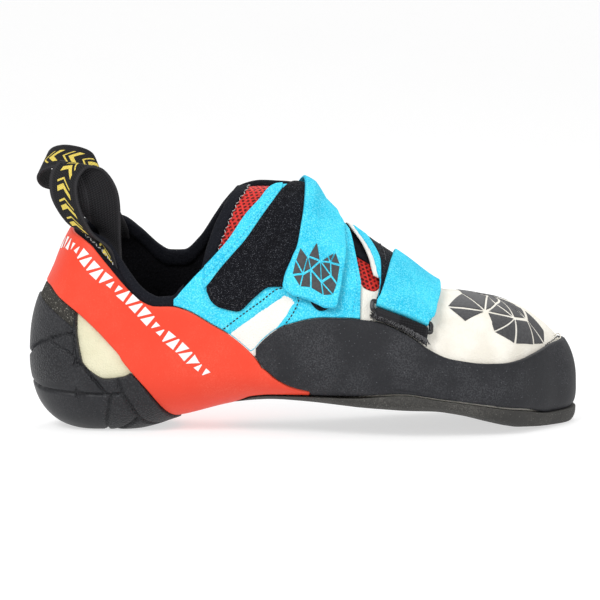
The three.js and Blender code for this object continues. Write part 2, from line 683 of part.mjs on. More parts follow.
function climbAngle(turn, climb) {
  const low = skin(-1, turn, ringAngle - 1, barLift);
  return ringAngle + (2 * climb) / low.distanceTo(skin(-1, turn, ringAngle + 1, barLift));
}

function besideRing(turn, climb, offset) {
  return over(turn, climbAngle(turn, climb), offset);
}

// Half turn round a bar: from the outer layer, round the side that faces the ring's gap, to the inner.
function fold(turn, sign) {
  return steps(90, 270, 6).map((degrees) => {
    const a = (degrees * Math.PI) / 180;
    const climb = sign * (barShift + foldRadius * Math.cos(a));
    return besideRing(turn, climb, barLift + foldRadius * Math.sin(a));
  });
}

function makeForefootStrap() {
  const turns = (angle) => {
    const share = clamp((angle - ringAngle) / (90 - ringAngle), 0, 2);
    return steps(0.682 + 0.026 * share, 0.612 + 0.018 * share, 4);
  };
  const upperLift = overUpper + layerGap + strapThick + layerGap + strapThick / 2;
  const lowerLift = overUpper + layerGap + strapThick / 2;
  const settle = (angle) => clamp((angle - 42) / 14, 0, 1);
  const angles = [142, 130, 118, 107, 98, 90, 82, 73, 63, 54, 47, 42];
  const outer = angles.map((angle) => {
    const lift = barLift + foldRadius + (upperLift - barLift - foldRadius) * settle(angle);
    return turns(angle).map((turn) => over(turn, angle, lift));
  });
  const bend = fold(0, 1).map((_, i) => turns(ringAngle).map((turn) => fold(turn, 1)[i]));
  const inner = [...angles].reverse().map((angle) => turns(angle).map((turn) => over(turn, angle, lowerLift)));
  return ribbon([...outer, ...bend, ...inner], strapThick);
}

const anchorEnd = [{ turn: 0.6, angle: 25 }, { turn: 0.65, angle: 22.5 }, { turn: 0.69, angle: 22.5 }];

function makeStrapAnchor() {
  const turns = steps(0.68, 0.614, 4);
  const overRand = overUpper + randThick + layerGap + strapThick / 2;
  const lowerLift = overUpper + layerGap + strapThick / 2;
  const toBar = (turn, from, share) => from + (climbAngle(turn, -barShift) - from) * share;
  const outer = [0, 0.4, 0.8].map((share) => turns.map((turn) => {
    const lift = overRand + (barLift + foldRadius - overRand) * share;
    return over(turn, toBar(turn, edge(anchorEnd, turn), share), lift);
  }));
  const bend = fold(0, -1).map((_, i) => turns.map((turn) => fold(turn, -1)[i]));
  const inner = turns.map((turn) => {
    const end = edge(randTop, turn) + 2 * apart(randTop, -1, turn, layerGap);
    return over(turn, toBar(turn, end, 0.2), lowerLift);
  });
  return ribbon([...outer, ...bend, inner].reverse(), strapThick);
}

function makeStrapRing() {
  const corner = 0.006;
  const path = [
    ...steps(ringBack + corner, ringFront - corner, 6).map((turn) => [turn, barShift]),
    [ringFront, barShift * 0.45], [ringFront, -barShift * 0.45],
    ...steps(ringFront - corner, ringBack + corner, 6).map((turn) => [turn, -barShift]),
    [ringBack, -barShift * 0.45], [ringBack, barShift * 0.45],
  ].map(([turn, climb]) => besideRing(turn, climb, barLift));
  return tube(path, wireRadius, 6);
}

// A round wire along a closed path.
function tube(path, radius, sideCount) {
  const surface = new Surface();
  const count = path.length;
  const middle = path.reduce((sum, p) => sum.add(p), new THREE.Vector3()).divideScalar(count);
  const rings = path.map((point, i) => {
    const along = path[(i + 1) % count].clone().sub(path[(i + count - 1) % count]).normalize();
    const outward = point.clone().sub(middle);
    const first = outward.addScaledVector(along, -outward.dot(along)).normalize();
    const second = along.clone().cross(first);
    return Array.from({ length: sideCount }, (_, k) => {
      const a = (2 * Math.PI * k) / sideCount;
      return surface.add(point.clone()
        .addScaledVector(first, radius * Math.cos(a))
        .addScaledVector(second, radius * Math.sin(a)));
    });
  });
  rings.forEach((ring, i) => {
    const next = rings[(i + 1) % count];
    ring.forEach((_, k) => {
      const l = (k + 1) % sideCount;
      surface.quad(ring[k], ring[l], next[l], next[k]);
    });
  });
  return surface;
}

// Pull loops: both edges of the tape. Its ends lie on the skin, over or under the upper; between them
// ahead, out and up are shares of the foot's length, width and height, ahead from the heel's middle.
const tapeOver = overUpper + tapeThick + layerGap;
const tapeUnder = -tapeThick;
const lateralTape = [
  [{ turn: 0.196, angle: 34, lift: tapeOver }, { turn: 0.15, angle: 47.5, lift: tapeOver }],
  [{ turn: 0.184, angle: 42, lift: tapeOver }, { turn: 0.142, angle: 53, lift: tapeOver }],
  [{ ahead: -0.014, out: -0.31, up: 0.83 }, { ahead: -0.059, out: -0.235, up: 0.865 }],
  [{ ahead: -0.039, out: -0.315, up: 0.94 }, { ahead: -0.091, out: -0.225, up: 0.965 }],
  [{ ahead: -0.039, out: -0.31, up: 1.045 }, { ahead: -0.091, out: -0.215, up: 1.07 }],
  [{ ahead: -0.019, out: -0.3, up: 1.105 }, { ahead: -0.071, out: -0.205, up: 1.13 }],
  [{ ahead: 0.009, out: -0.29, up: 1.1 }, { ahead: -0.044, out: -0.195, up: 1.125 }],
  [{ ahead: 0.029, out: -0.28, up: 1.045 }, { ahead: -0.023, out: -0.185, up: 1.07 }],
  [{ ahead: 0.039, out: -0.255, up: 0.955 }, { ahead: -0.009, out: -0.17, up: 0.985 }],
  [{ turn: 0.198, angle: 45, lift: tapeUnder - 0.8 }, { turn: 0.158, angle: 57, lift: tapeUnder - 1.2 }],
  [{ turn: 0.202, angle: 35, lift: tapeUnder }, { turn: 0.162, angle: 45, lift: tapeUnder }],
  [{ turn: 0.206, angle: 27, lift: tapeUnder }, { turn: 0.166, angle: 36, lift: tapeUnder }],
];
const medialTape = [
  [{ turn: 0.196, angle: 48, lift: tapeOver + 0.2 }, { turn: 0.15, angle: 50, lift: tapeOver + 0.2 }],
  [{ turn: 0.19, angle: 57, lift: tapeOver + strapGap }, { turn: 0.142, angle: 59, lift: tapeOver + strapGap }],
  [{ ahead: -0.019, out: 0.285, up: 0.92 }, { ahead: -0.034, out: 0.385, up: 0.965 }],
  [{ ahead: -0.074, out: 0.27, up: 0.965 }, { ahead: -0.074, out: 0.405, up: 1.01 }],
  [{ ahead: -0.119, out: 0.235, up: 1.01 }, { ahead: -0.113, out: 0.36, up: 1.085 }],
  [{ ahead: -0.131, out: 0.175, up: 1.065 }, { ahead: -0.119, out: 0.29, up: 1.165 }],
  [{ ahead: -0.105, out: 0.135, up: 1.105 }, { ahead: -0.091, out: 0.25, up: 1.195 }],
  [{ ahead: -0.059, out: 0.115, up: 1.085 }, { ahead: -0.044, out: 0.225, up: 1.175 }],
  [{ ahead: -0.014, out: 0.12, up: 1.01 }, { ahead: -0.014, out: 0.21, up: 1.1 }],
  [{ ahead: 0.021, out: 0.135, up: 0.93 }, { ahead: -0.001, out: 0.17, up: 0.99 }],
  [{ turn: 0.2, angle: 54, lift: tapeUnder - 1 }, { turn: 0.158, angle: 57, lift: tapeUnder - 1.6 }],
  [{ turn: 0.204, angle: 45, lift: tapeUnder }, { turn: 0.162, angle: 47, lift: tapeUnder }],
];

function makeTape(side, rows) {
  const spot = ({ turn, angle, lift, ahead, out, up }) => (turn === undefined
    ? new THREE.Vector3(heelReach + footLength * ahead, ballWidth * out, instepHeight * up)
    : skin(side, turn, angle, lift));
  const edges = [0, 1].map((k) => rows.map((row, s) => ({ s, ...spot(row[k]) })));
  const point = (k, s) => new THREE.Vector3(...["x", "y", "z"].map((axis) => read(edges[k], "s", axis, s)));
  const grid = steps(0, rows.length - 1, 2 * (rows.length - 1)).map((s) => {
    const [near, far] = [point(0, s), point(1, s)];
    return [near, near.clone().lerp(far, 0.5), far];
  });
  return ribbon(side > 0 ? grid.reverse() : grid, tapeThick);
}

const shoe = new THREE.Group();
shoe.name = "climbing_shoe";
shoe.add(
  makeUpper().mesh("upper", 0xe9e5d8, 0.8),
  makeInsole().mesh("insole", 0x3a3a3c, 0.9),
  makeOutsole().mesh("outsole", 0x2f2e30, 0.75),
  makeToeRand().mesh("toe_rand", 0x35363a, 0.7),
  makeHeelRand().mesh("heel_rand", 0xf2593f, 0.6),
  makeHeelCup().mesh("heel_cup", 0x323338, 0.6),
  makeQuarter(-1, 0.284, 0.583).mesh("quarter_lateral", 0x35b4dc, 0.9),
  makeQuarter(1, 0.21, 0.565).mesh("quarter_medial", 0x35b4dc, 0.9),
  makeLoopPatch().mesh("loop_patch", 0x1f1f22, 0.95),
  makeTongue().mesh("tongue", 0xd6382a, 0.9),
  makeThroatFlap().mesh("throat_flap", 0x35b4dc, 0.9),
  makeStrapBase().mesh("strap_base", 0x1f1f22, 0.95),
  makeInstepStrap().mesh("instep_strap", 0x35b4dc, 0.9),
  makeForefootStrap().mesh("forefoot_strap", 0x35b4dc, 0.9),
  makeStrapAnchor().mesh("strap_anchor", 0x27272a, 0.9),
  makeStrapRing().mesh("strap_ring", 0x1c1c1e, 0.4),
  makeTape(-1, lateralTape).mesh("pull_loop_lateral", 0x242226, 0.9),
  makeTape(1, medialTape).mesh("pull_loop_medial", 0x242226, 0.9),
);

export default shoe;
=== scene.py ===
import bmesh
import bpy
import numpy as np
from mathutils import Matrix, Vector


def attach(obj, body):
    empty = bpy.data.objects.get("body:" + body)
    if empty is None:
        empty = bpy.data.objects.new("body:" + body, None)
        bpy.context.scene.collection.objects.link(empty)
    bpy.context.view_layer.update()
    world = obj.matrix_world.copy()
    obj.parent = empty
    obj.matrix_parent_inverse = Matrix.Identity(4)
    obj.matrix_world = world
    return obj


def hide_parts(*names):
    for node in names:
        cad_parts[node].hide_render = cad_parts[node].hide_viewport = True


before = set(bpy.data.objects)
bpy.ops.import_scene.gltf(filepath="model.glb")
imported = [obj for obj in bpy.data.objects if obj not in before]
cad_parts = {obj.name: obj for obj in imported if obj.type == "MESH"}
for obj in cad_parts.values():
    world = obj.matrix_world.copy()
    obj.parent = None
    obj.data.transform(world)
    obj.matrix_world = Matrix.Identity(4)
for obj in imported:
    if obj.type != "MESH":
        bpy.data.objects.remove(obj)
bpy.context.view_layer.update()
print("frame loaded:", len(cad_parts), "nodes")

# The foot form that every panel of the shoe lies on, in millimetres.
# Shares: sections of the instep height, plan and rounds of the ball width, at of the length.
foot = {
    "length": 243.5,
    "ballWidth": 84.0,
    "instep": 110.0,
    "heelReach": 29.0,
    "toeReach": 36.5,
    "heelHollow": 5.3,
    "middleAt": 0.4975,
    # at, bottom, widest, top, fullness below, fullness above, tread, fullness of the tread
    "sections": [
        (-0.03, 0.064, 0.3, 0.918, 2.4, 2, 0, 2.4),
        (0.05, 0.064, 0.3, 0.918, 2.4, 2.1, 0, 2.4),
        (0.12, 0.064, 0.3, 0.918, 2.4, 2.5, 0, 2.4),
        (0.205, 0.066, 0.3, 0.94, 2.4, 2.5, 0.02, 2.4),
        (0.27, 0.086, 0.3, 0.97, 2.4, 2.4, 0.05, 2.4),
        (0.35, 0.132, 0.3, 1, 2.4, 2.2, 0.1, 2.5),
        (0.386, 0.15, 0.29, 1.01, 2.4, 2.1, 0.114, 2.6),
        (0.444, 0.16, 0.28, 1.013, 2.5, 1.95, 0.126, 2.8),
        (0.493, 0.16, 0.27, 1, 2.6, 1.85, 0.125, 3.2),
        (0.574, 0.159, 0.24, 0.845, 2.8, 1.8, 0.115, 4),
        (0.676, 0.148, 0.21, 0.686, 3.6, 1.9, 0.098, 6),
        (0.764, 0.125, 0.18, 0.555, 4.6, 2.1, 0.075, 7),
        (0.797, 0.11, 0.175, 0.545, 4.8, 2.2, 0.06, 8),
        (0.85, 0.092, 0.165, 0.52, 5, 2.5, 0.025, 8),
        (0.91, 0.064, 0.16, 0.49, 5, 2.8, -0.008, 8),
        (0.965, 0.055, 0.16, 0.46, 5, 2.5, -0.02, 8),
        (1.02, 0.055, 0.16, 0.45, 5, 2.3, -0.02, 8),
    ],
    # at, outer half width, inner half width, middle line
    "plan": [
        (0.205, 0.318, 0.318, 0),
        (0.35, 0.335, 0.305, -0.005),
        (0.48, 0.385, 0.32, -0.025),
        (0.6, 0.44, 0.385, -0.035),
        (0.7, 0.485, 0.445, -0.01),
        (0.78, 0.515, 0.43, 0.06),
    ],
    "toeMiddle": 0.143,
    "heelRound": [(0, 0.345), (45, 0.33), (90, 0.315)],
    "toeRound": [
        (-90, 0.524), (-61, 0.416), (-30, 0.386), (-6, 0.434), (7, 0.46),
        (23, 0.458), (41, 0.412), (62, 0.369), (90, 0.35),
    ],
}
layers = {"wall": 1.8, "gap": 0.3, "quarter": 1.2, "band": 1.8, "rand": 2.0, "strapGap": 0.5}
overUpper = layers["wall"] + layers["gap"]
overQuarter = overUpper + layers["quarter"] + layers["strapGap"]
outerSide, innerSide = -1.0, 1.0
rimSteps = (0, 0.12, 0.35, 0.75, 1.3)  # where the rows stand behind an open edge
weldWithin = 2e-6  # metres

toeStart = foot["length"] - foot["toeReach"]
heelArc = np.pi / 2 * foot["heelReach"]
toeArc = np.pi / 2 * foot["toeReach"]
halfGirth = heelArc + toeStart - foot["heelReach"] + toeArc
heelTurn = heelArc / halfGirth
toeTurn = 1 - toeArc / halfGirth


def through(rows, x, column=1, flat=False):
    # piecewise cubic through the rows; flat takes the harmonic mean of slopes, so it never overshoots
    table = np.asarray(rows, float)
    at, value = table[:, 0], table[:, column]
    x = np.clip(np.asarray(x, float), at[0], at[-1])
    gap = np.diff(at)
    slope = np.diff(value) / gap
    lean = np.empty(len(at))
    lean[0], lean[-1] = slope[0], slope[-1]
    before, after = slope[:-1], slope[1:]
    if flat:
        total = np.where(before + after == 0, 1, before + after)
        lean[1:-1] = np.where(before * after > 0, 2 * before * after / total, 0)
    else:
        lean[1:-1] = (before * gap[1:] + after * gap[:-1]) / (gap[:-1] + gap[1:])
    k = np.clip(np.searchsorted(at, x, side="right") - 1, 0, len(at) - 2)
    s = (x - at[k]) / gap[k]
    rise = s * s * (3 - 2 * s) * (value[k + 1] - value[k])
    bend = s * (s - 1) ** 2 * lean[k] + s * s * (s - 1) * lean[k + 1]
    return value[k] + rise + gap[k] * bend


def edge(rows, turn):
    return through(rows, turn, flat=True)


def reachRows(side):
    # half widths along one side by turn, carried a little past heel back and toe tip
    body = [
        (heelTurn + (at * foot["length"] - foot["heelReach"]) / halfGirth, outer if side < 0 else inner)
        for at, outer, inner, _ in foot["plan"]
    ]
    heel = [(bearing / 90 * heelTurn, reach) for bearing, reach in foot["heelRound"]]
    past = [(-turn, reach) for turn, reach in heel[1:]]
    toe = []
    for bearing, reach in foot["toeRound"]:
        share = abs(bearing) / 90 * (1 - toeTurn)
        toe.append((1 - share if bearing * side >= 0 else 1 + share, reach))
    return sorted(past + heel + body + toe)


reaches = {outerSide: reachRows(-1), innerSide: reachRows(1)}
middles = [(-0.03, 0), (0.1, 0)] + [(row[0], row[3]) for row in foot["plan"]]
middles += [(toeStart / foot["length"], foot["toeMiddle"]), (1.02, foot["toeMiddle"])]
footForm = {"grow": 0.0, "low": 1, "lowFull": 4, "hollow": foot["heelHollow"]}
treadForm = {"grow": overUpper + layers["rand"], "low": 6, "lowFull": 7, "hollow": 0.0}


def formPoint(side, turn, angle, form=footForm):
    # a ray from the middle line, as long as the half width, times a rounded section: cos and sin of
    # the angle over their n-norm give how far out and how high it is, between widest and end
    side, turn, angle = np.broadcast_arrays(*(np.asarray(v, float) for v in (side, turn, angle)))
    back = np.maximum(1 - turn / heelTurn, 0) * np.pi / 2
    front = np.maximum((turn - toeTurn) / (1 - toeTurn), 0) * np.pi / 2
    run = np.clip((turn - heelTurn) / (toeTurn - heelTurn), 0, 1)
    middleX = foot["heelReach"] + (toeStart - foot["heelReach"]) * run
    middleY = foot["ballWidth"] * through(middles, middleX / foot["length"])
    alongX = np.sin(front) - np.sin(back)
    alongY = side * np.cos(back) * np.cos(front)
    outer, inner = (through(reaches[s], turn) for s in (outerSide, innerSide))
    reach = foot["ballWidth"] * np.where(side < 0, outer, inner) + form["grow"]
    at = (middleX + alongX * reach) / foot["length"]
    low, high = through(foot["sections"], at, form["lowFull"]), through(foot["sections"], at, 5)
    full = np.where(angle < 0, low, high)
    out, up = np.abs(np.cos(np.radians(angle))), np.sin(np.radians(angle))
    norm = (out**full + np.abs(up) ** full) ** (1 / full)
    share = (middleX + alongX * reach * out / norm) / foot["length"]
    widest = foot["instep"] * through(foot["sections"], share, 2)
    bottom = foot["instep"] * through(foot["sections"], share, form["low"])
    top = foot["instep"] * through(foot["sections"], share, 3)
    z = widest + np.abs(np.where(angle < 0, bottom, top) - widest) * up / norm
    waist = np.exp(-((np.minimum(z / foot["instep"] - 0.7, 0) / 0.16) ** 2))
    waist = waist * np.minimum(3 * out / norm, 1)
    ray = reach * out / norm - form["hollow"] * np.sin(back) ** 2 * waist
    return np.stack([middleX + alongX * ray, middleY + alongY * ray, z], -1)


def unit(v):
    return v / np.maximum(np.linalg.norm(v, axis=-1, keepdims=True), 1e-9)


def formNormal(side, turn, angle, form=footForm):
    angle = np.clip(angle, -89.0, 89.0)
    step, lift = 1e-4, 0.05
    along = formPoint(side, turn + step, angle, form) - formPoint(side, turn - step, angle, form)
    upward = formPoint(side, turn, angle + lift, form) - formPoint(side, turn, angle - lift, form)
    return unit(np.cross(along, upward) * -np.asarray(side, float)[..., None])


def skin(side, turn, angle, offset=0.0, form=footForm):
    # the form moved out along its normal
    side, turn, angle, offset = np.broadcast_arrays(
        *(np.asarray(v, float) for v in (side, turn, angle, offset))
    )
    return formPoint(side, turn, angle, form) + formNormal(side, turn, angle, form) * offset[..., None]


def overRidge(turn, angle, offset):
    # the angle carried over the ridge: 0 outer side, 90 ridge, 180 inner side
    angle = np.asarray(angle, float)
    side = np.where(angle <= 90, outerSide, innerSide)
    return skin(side, turn, np.where(angle <= 90, angle, 180 - angle), offset)


def angleAt(side, turn, height, offset, form=footForm):
    low = np.full(np.shape(turn), -90.0)
    high = np.full(np.shape(turn), 60.0)
    for _ in range(22):
        middle = (low + high) / 2
        below = skin(side, turn, middle, offset, form)[..., 2] < height
        low, high = np.where(below, middle, low), np.where(below, high, middle)
    return (low + high) / 2


def perDegree(side, turn, angle, offset=2.0):
    angle = np.clip(angle, -87, 87)
    return np.linalg.norm(
        skin(side, turn, angle + 0.5, offset) - skin(side, turn, angle - 0.5, offset), axis=-1
    )


def apart(rows, side, turn, gap):
    # degrees that hold two edges a gap apart, more where the edge runs steeply
    scale = perDegree(side, turn, edge(rows, turn))
    steep = (edge(rows, turn + 0.004) - edge(rows, turn - 0.004)) * scale / (0.008 * halfGirth)
    return gap * np.minimum(np.hypot(1, steep), 4) / scale


def ripple(points, size, seed=0.0):
    # a smooth wandering value from -1 to 1: three crossed sine waves of unlike lengths
    x, y, z = (points[..., k] / size for k in range(3))
    first = np.sin(6.1 * x + 3.7 * y + 2.1 * z + seed) * np.sin(4.3 * z - 5.2 * y + 1.7 * seed)
    second = np.sin(2.9 * x - 4.4 * z + 2.3 * seed) * np.cos(3.3 * y + 5.9 * x - seed)
    return 0.5 * (first + second)


def rounded(distance, radius):
    # a quarter circle: 0 at the edge, 1 from the radius on
    return np.sqrt(np.clip(1 - (1 - np.clip(distance / radius, 0, 1)) ** 2, 0, 1))


def lineDistance(points, path):
    # shortest distance from each point to a run of points
    best = np.full(points.shape[:-1], 1e9)
    for spot in path:
        best = np.minimum(best, ((points - spot) ** 2).sum(-1))
    return np.sqrt(best)


def betweenSpots(spots, count, flat=True):
    # turns and angles of many points on the curve through a few turn, angle spots
    rows = [(k, *spot) for k, spot in enumerate(spots)]
    share = np.linspace(0, len(spots) - 1, count)
    return through(rows, share, 1, flat), through(rows, share, 2, flat)


# Meshes

def makePiece(name, points, faces, material, uv=None, stands=(), values=None):
    # points in millimetres of the foot form; the frame has the shoe's middle at its origin
    mesh = bpy.data.meshes.new(name)
    place = (points.reshape(-1, 3) - [foot["middleAt"] * foot["length"], 0, 0]) / 1000
    faces = np.asarray(faces, np.int32)
    mesh.vertices.add(len(place))
    mesh.vertices.foreach_set("co", place.astype(np.float32).ravel())
    mesh.loops.add(faces.size)
    mesh.loops.foreach_set("vertex_index", faces.ravel())
    mesh.polygons.add(len(faces))
    mesh.polygons.foreach_set("loop_start", np.arange(0, faces.size, faces.shape[1], dtype=np.int32))
    mesh.update(calc_edges=True)
    if uv is not None:
        layer = mesh.uv_layers.new(name="Wrap")
        layer.data.foreach_set("uv", uv.reshape(-1, 2)[faces.ravel()].astype(np.float32).ravel())
    for key, value in (values or {}).items():
        mesh.attributes.new(key, "FLOAT", "POINT").data.foreach_set(
            "value", value.astype(np.float32).ravel()
        )
    work = bmesh.new()
    work.from_mesh(mesh)
    bmesh.ops.remove_doubles(work, verts=work.verts, dist=weldWithin)
    bmesh.ops.dissolve_degenerate(work, edges=work.edges, dist=weldWithin)
    work.to_mesh(mesh)
    work.free()
    mesh.polygons.foreach_set("use_smooth", np.ones(len(mesh.polygons), bool))
    mesh.materials.append(material)
    piece = bpy.data.objects.new(name, mesh)
    bpy.context.scene.collection.objects.link(piece)
    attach(piece, "root")
    for node in stands:
        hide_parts(node)
    return piece


def gridFaces(rows, cols, start=0, loop=False, flip=False):
    i, j = np.meshgrid(np.arange(rows if loop else rows - 1), np.arange(cols - 1), indexing="ij")
    nextRow = (i + 1) % rows
    quad = np.stack([i * cols + j, nextRow * cols + j, nextRow * cols + j + 1, i * cols + j + 1], -1)
    quad = quad.reshape(-1, 4) + start
    return quad[:, ::-1] if flip else quad


def shellFaces(rows, cols, loop=False, walls="seln"):
    # outer grid, inner grid turned round, and a wall on each open side: s and e across the ends
    # of the rows, l and n along the first and last column
    count = rows * cols
    faces = [gridFaces(rows, cols, 0, loop), gridFaces(rows, cols, count, loop, True)]
    ring = np.arange(rows if loop else rows - 1)
    after = (ring + 1) % rows
    across = np.arange(cols - 1)
    if "l" in walls:
        a, b = ring * cols, after * cols
        faces.append(np.stack([b, a, a + count, b + count], -1))
    if "n" in walls:
        a, b = ring * cols + cols - 1, after * cols + cols - 1
        faces.append(np.stack([a, b, b + count, a + count], -1))
    if "s" in walls and not loop:
        faces.append(np.stack([across, across + 1, across + 1 + count, across + count], -1))
    if "e" in walls and not loop:
        a = (rows - 1) * cols + across
        faces.append(np.stack([a + 1, a, a + count, a + 1 + count], -1))
    return np.concatenate(faces)


def crowded(length, step, rim=rimSteps, last=True):
    # distances along a run, close together at its open ends
    head = [r for r in rim if r < length * 0.4]
    tail = [r for r in rim if r < length * 0.4] if last else [0]
    count = max(int((length - head[-1] - tail[-1]) / step), 2)
    inside = np.linspace(head[-1], length - tail[-1], count + 1)[1:-1]
    return np.concatenate([head, inside, length - np.array(tail[::-1])])


def wayAlong(kind, start, end, step):
    # sides and turns along a panel, so that up is to the left seen from outside
    run = (end - start) * halfGirth
    if kind == "outer":
        turn = start + crowded(run, step) / halfGirth
        return np.full(len(turn), outerSide), turn
    if kind == "inner":
        turn = end - crowded(run, step) / halfGirth
        return np.full(len(turn), innerSide), turn
    if kind in ("heel", "toe"):
        share = crowded(run, step, last=False) / halfGirth
        turn = end - share if kind == "heel" else start + share
        side = np.full(len(turn), innerSide if kind == "heel" else outerSide)
        return np.concatenate([side, -side[1:]]), np.concatenate([turn, turn[::-1][1:]])
    turn = np.linspace(0, 1, int(halfGirth / step))
    side = np.full(len(turn), outerSide)
    return np.concatenate([side, -side[1:-1]]), np.concatenate([turn, turn[::-1][1:-1]])


def angleGrid(side, turn, low, high, count, closedLow=False):
    # rows from the low to the high edge, close together at the open edges
    low, high = np.broadcast_to(low, turn.shape), np.broadcast_to(high, turn.shape)
    span = np.maximum(high - low, 0.05)
    lowRim = np.minimum(rimSteps[-1] / perDegree(side, turn, low), span * 0.3)
    highRim = np.minimum(rimSteps[-1] / perDegree(side, turn, high), span * 0.3)
    share = np.array(rimSteps) / rimSteps[-1]
    if closedLow:
        lowRim, lowShare = lowRim * 0, np.zeros(1)
    else:
        lowShare = share
    middle = np.linspace(0, 1, count - len(lowShare) - len(share) + 2)[1:-1]
    parts = [
        low[:, None] + lowRim[:, None] * lowShare,
        (low + lowRim)[:, None] + (span - lowRim - highRim)[:, None] * middle,
        (low + span)[:, None] - highRim[:, None] * share[::-1],
    ]
    return np.concatenate(parts, 1)


def alongLengths(points, axis):
    steps = np.linalg.norm(np.diff(points, axis=axis), axis=-1)
    zero = np.zeros_like(steps[:1] if axis == 0 else steps[:, :1])
    return np.concatenate([zero, np.cumsum(steps, axis=axis)], axis=axis)


def plate(name, side, turn, angle, base, thick, material, slot, roundTo=0.8, lip=0.3,
          detail=None, walls="seln", loop=False, stands=(), soft=1.0, flatFloor=False):
    # a closed panel on the skin: inner face at the base offset, outer face a thickness above it,
    # falling on a quarter circle towards its open edges
    inner = skin(side, turn, angle, base)
    up, along = alongLengths(inner, 1), alongLengths(inner, 0)
    fall = np.ones(turn.shape)
    rim = np.full(turn.shape, 9.0)
    for key, distance in (
        ("l", up), ("n", up[:, -1:] - up), ("s", along), ("e", along[-1:] - along)
    ):
        if key in walls and not (loop and key in "se"):
            fall = fall * rounded(distance, roundTo)
            rim = np.minimum(rim, distance)
    offset = base + thick * (lip + (1 - lip) * fall)
    if detail is not None:
        offset = offset + detail(inner, side, turn, angle, rim) * np.clip(rim * soft, 0, 1)
    outer = skin(side, turn, angle, offset)
    if flatFloor:
        outer[..., 2] = np.maximum(outer[..., 2], 0)
    rows, cols = turn.shape
    uv = np.stack([along, up], -1) / 10
    return makePiece(
        name, np.stack([outer, inner]), shellFaces(rows, cols, loop, walls), material,
        np.stack([uv, uv]), stands, {"rim": np.stack([rim, rim])},
    )


def panel(name, kind, start, end, low, high, base, thick, material, slot, step=1.3, count=40,
          closedLow=False, **rest):
    side, turn = wayAlong(kind, start, end, step)
    angle = angleGrid(side, turn, low(side, turn), high(side, turn), count, closedLow=closedLow)
    shape = angle.shape
    walls = "sen" if closedLow else "seln"
    return plate(
        name, np.broadcast_to(side[:, None], shape), np.broadcast_to(turn[:, None], shape), angle,
        base, thick, material, slot, walls=walls, loop=kind == "all", **rest,
    )


def bandPlate(name, edges, base, thick, material, slot, step=1.2, across=26, **rest):
    # a band over the ridge: edges give back and front turn by the angle over it
    first, last = edges[0][0], edges[-1][0]
    probe = np.linspace(first, last, 60)
    run = alongLengths(overRidge(through(edges, probe), probe, 3.0), 0)
    angle = np.interp(crowded(run[-1], step), run, probe)
    back, front = through(edges, angle, 1), through(edges, angle, 2)
    width = (front - back) * halfGirth
    share = crowded(float(width.mean()), float(width.mean()) / across) / float(width.mean())
    turn = back[None, :] + (front - back)[None, :] * share[:, None]
    angle = np.broadcast_to(angle[None, :], turn.shape)
    side = np.where(angle <= 90, outerSide, innerSide)
    if callable(base):
        base = base(turn, angle)
    return plate(
        name, side, turn, np.where(angle <= 90, angle, 180 - angle), base, thick, material, slot,
        **rest,
    )


def ribbonPiece(name, grid, thick, material, stands=(), roundTo=0.5, lip=0.35, values=None):
    # a strip of cloth: a grid of middle points, half the thickness to each side along its normal
    along = unit(np.gradient(grid, axis=0))
    across = unit(np.gradient(grid, axis=1))
    normal = unit(np.cross(along, across))
    run, wide = alongLengths(grid, 0), alongLengths(grid, 1)
    fall = rounded(wide, roundTo) * rounded(wide[:, -1:] - wide, roundTo)
    half = (thick / 2 * (lip + (1 - lip) * fall))[..., None]
    uv = np.stack([run, wide], -1) / 10
    rows, cols = grid.shape[:2]
    return makePiece(
        name, np.stack([grid + normal * half, grid - normal * half]), shellFaces(rows, cols),
        material, np.stack([uv, uv]), stands, values,
    )


def tubePiece(name, path, radius, material, sides, stands=()):
    # a round profile carried along a closed path; its first spoke stays square to the path's normal
    along = unit(np.roll(path, -1, 0) - np.roll(path, 1, 0))
    guide = unit(np.cross(path[len(path) // 3] - path[0], path[2 * len(path) // 3] - path[0])[None])
    first = unit(np.cross(along, guide))
    second = np.cross(along, first)
    a = np.linspace(0, 2 * np.pi, sides, endpoint=False)
    ring = np.cos(a)[None, :, None] * first[:, None] + np.sin(a)[None, :, None] * second[:, None]
    grid = path[:, None] + ring * radius
    grid = np.concatenate([grid, grid[:, :1]], 1)
    rows, cols = grid.shape[:2]
    uv = np.stack(np.meshgrid(np.arange(rows), np.arange(cols), indexing="ij"), -1) / cols
    return makePiece(name, grid, gridFaces(rows, cols, 0, True, True), material, uv, stands)


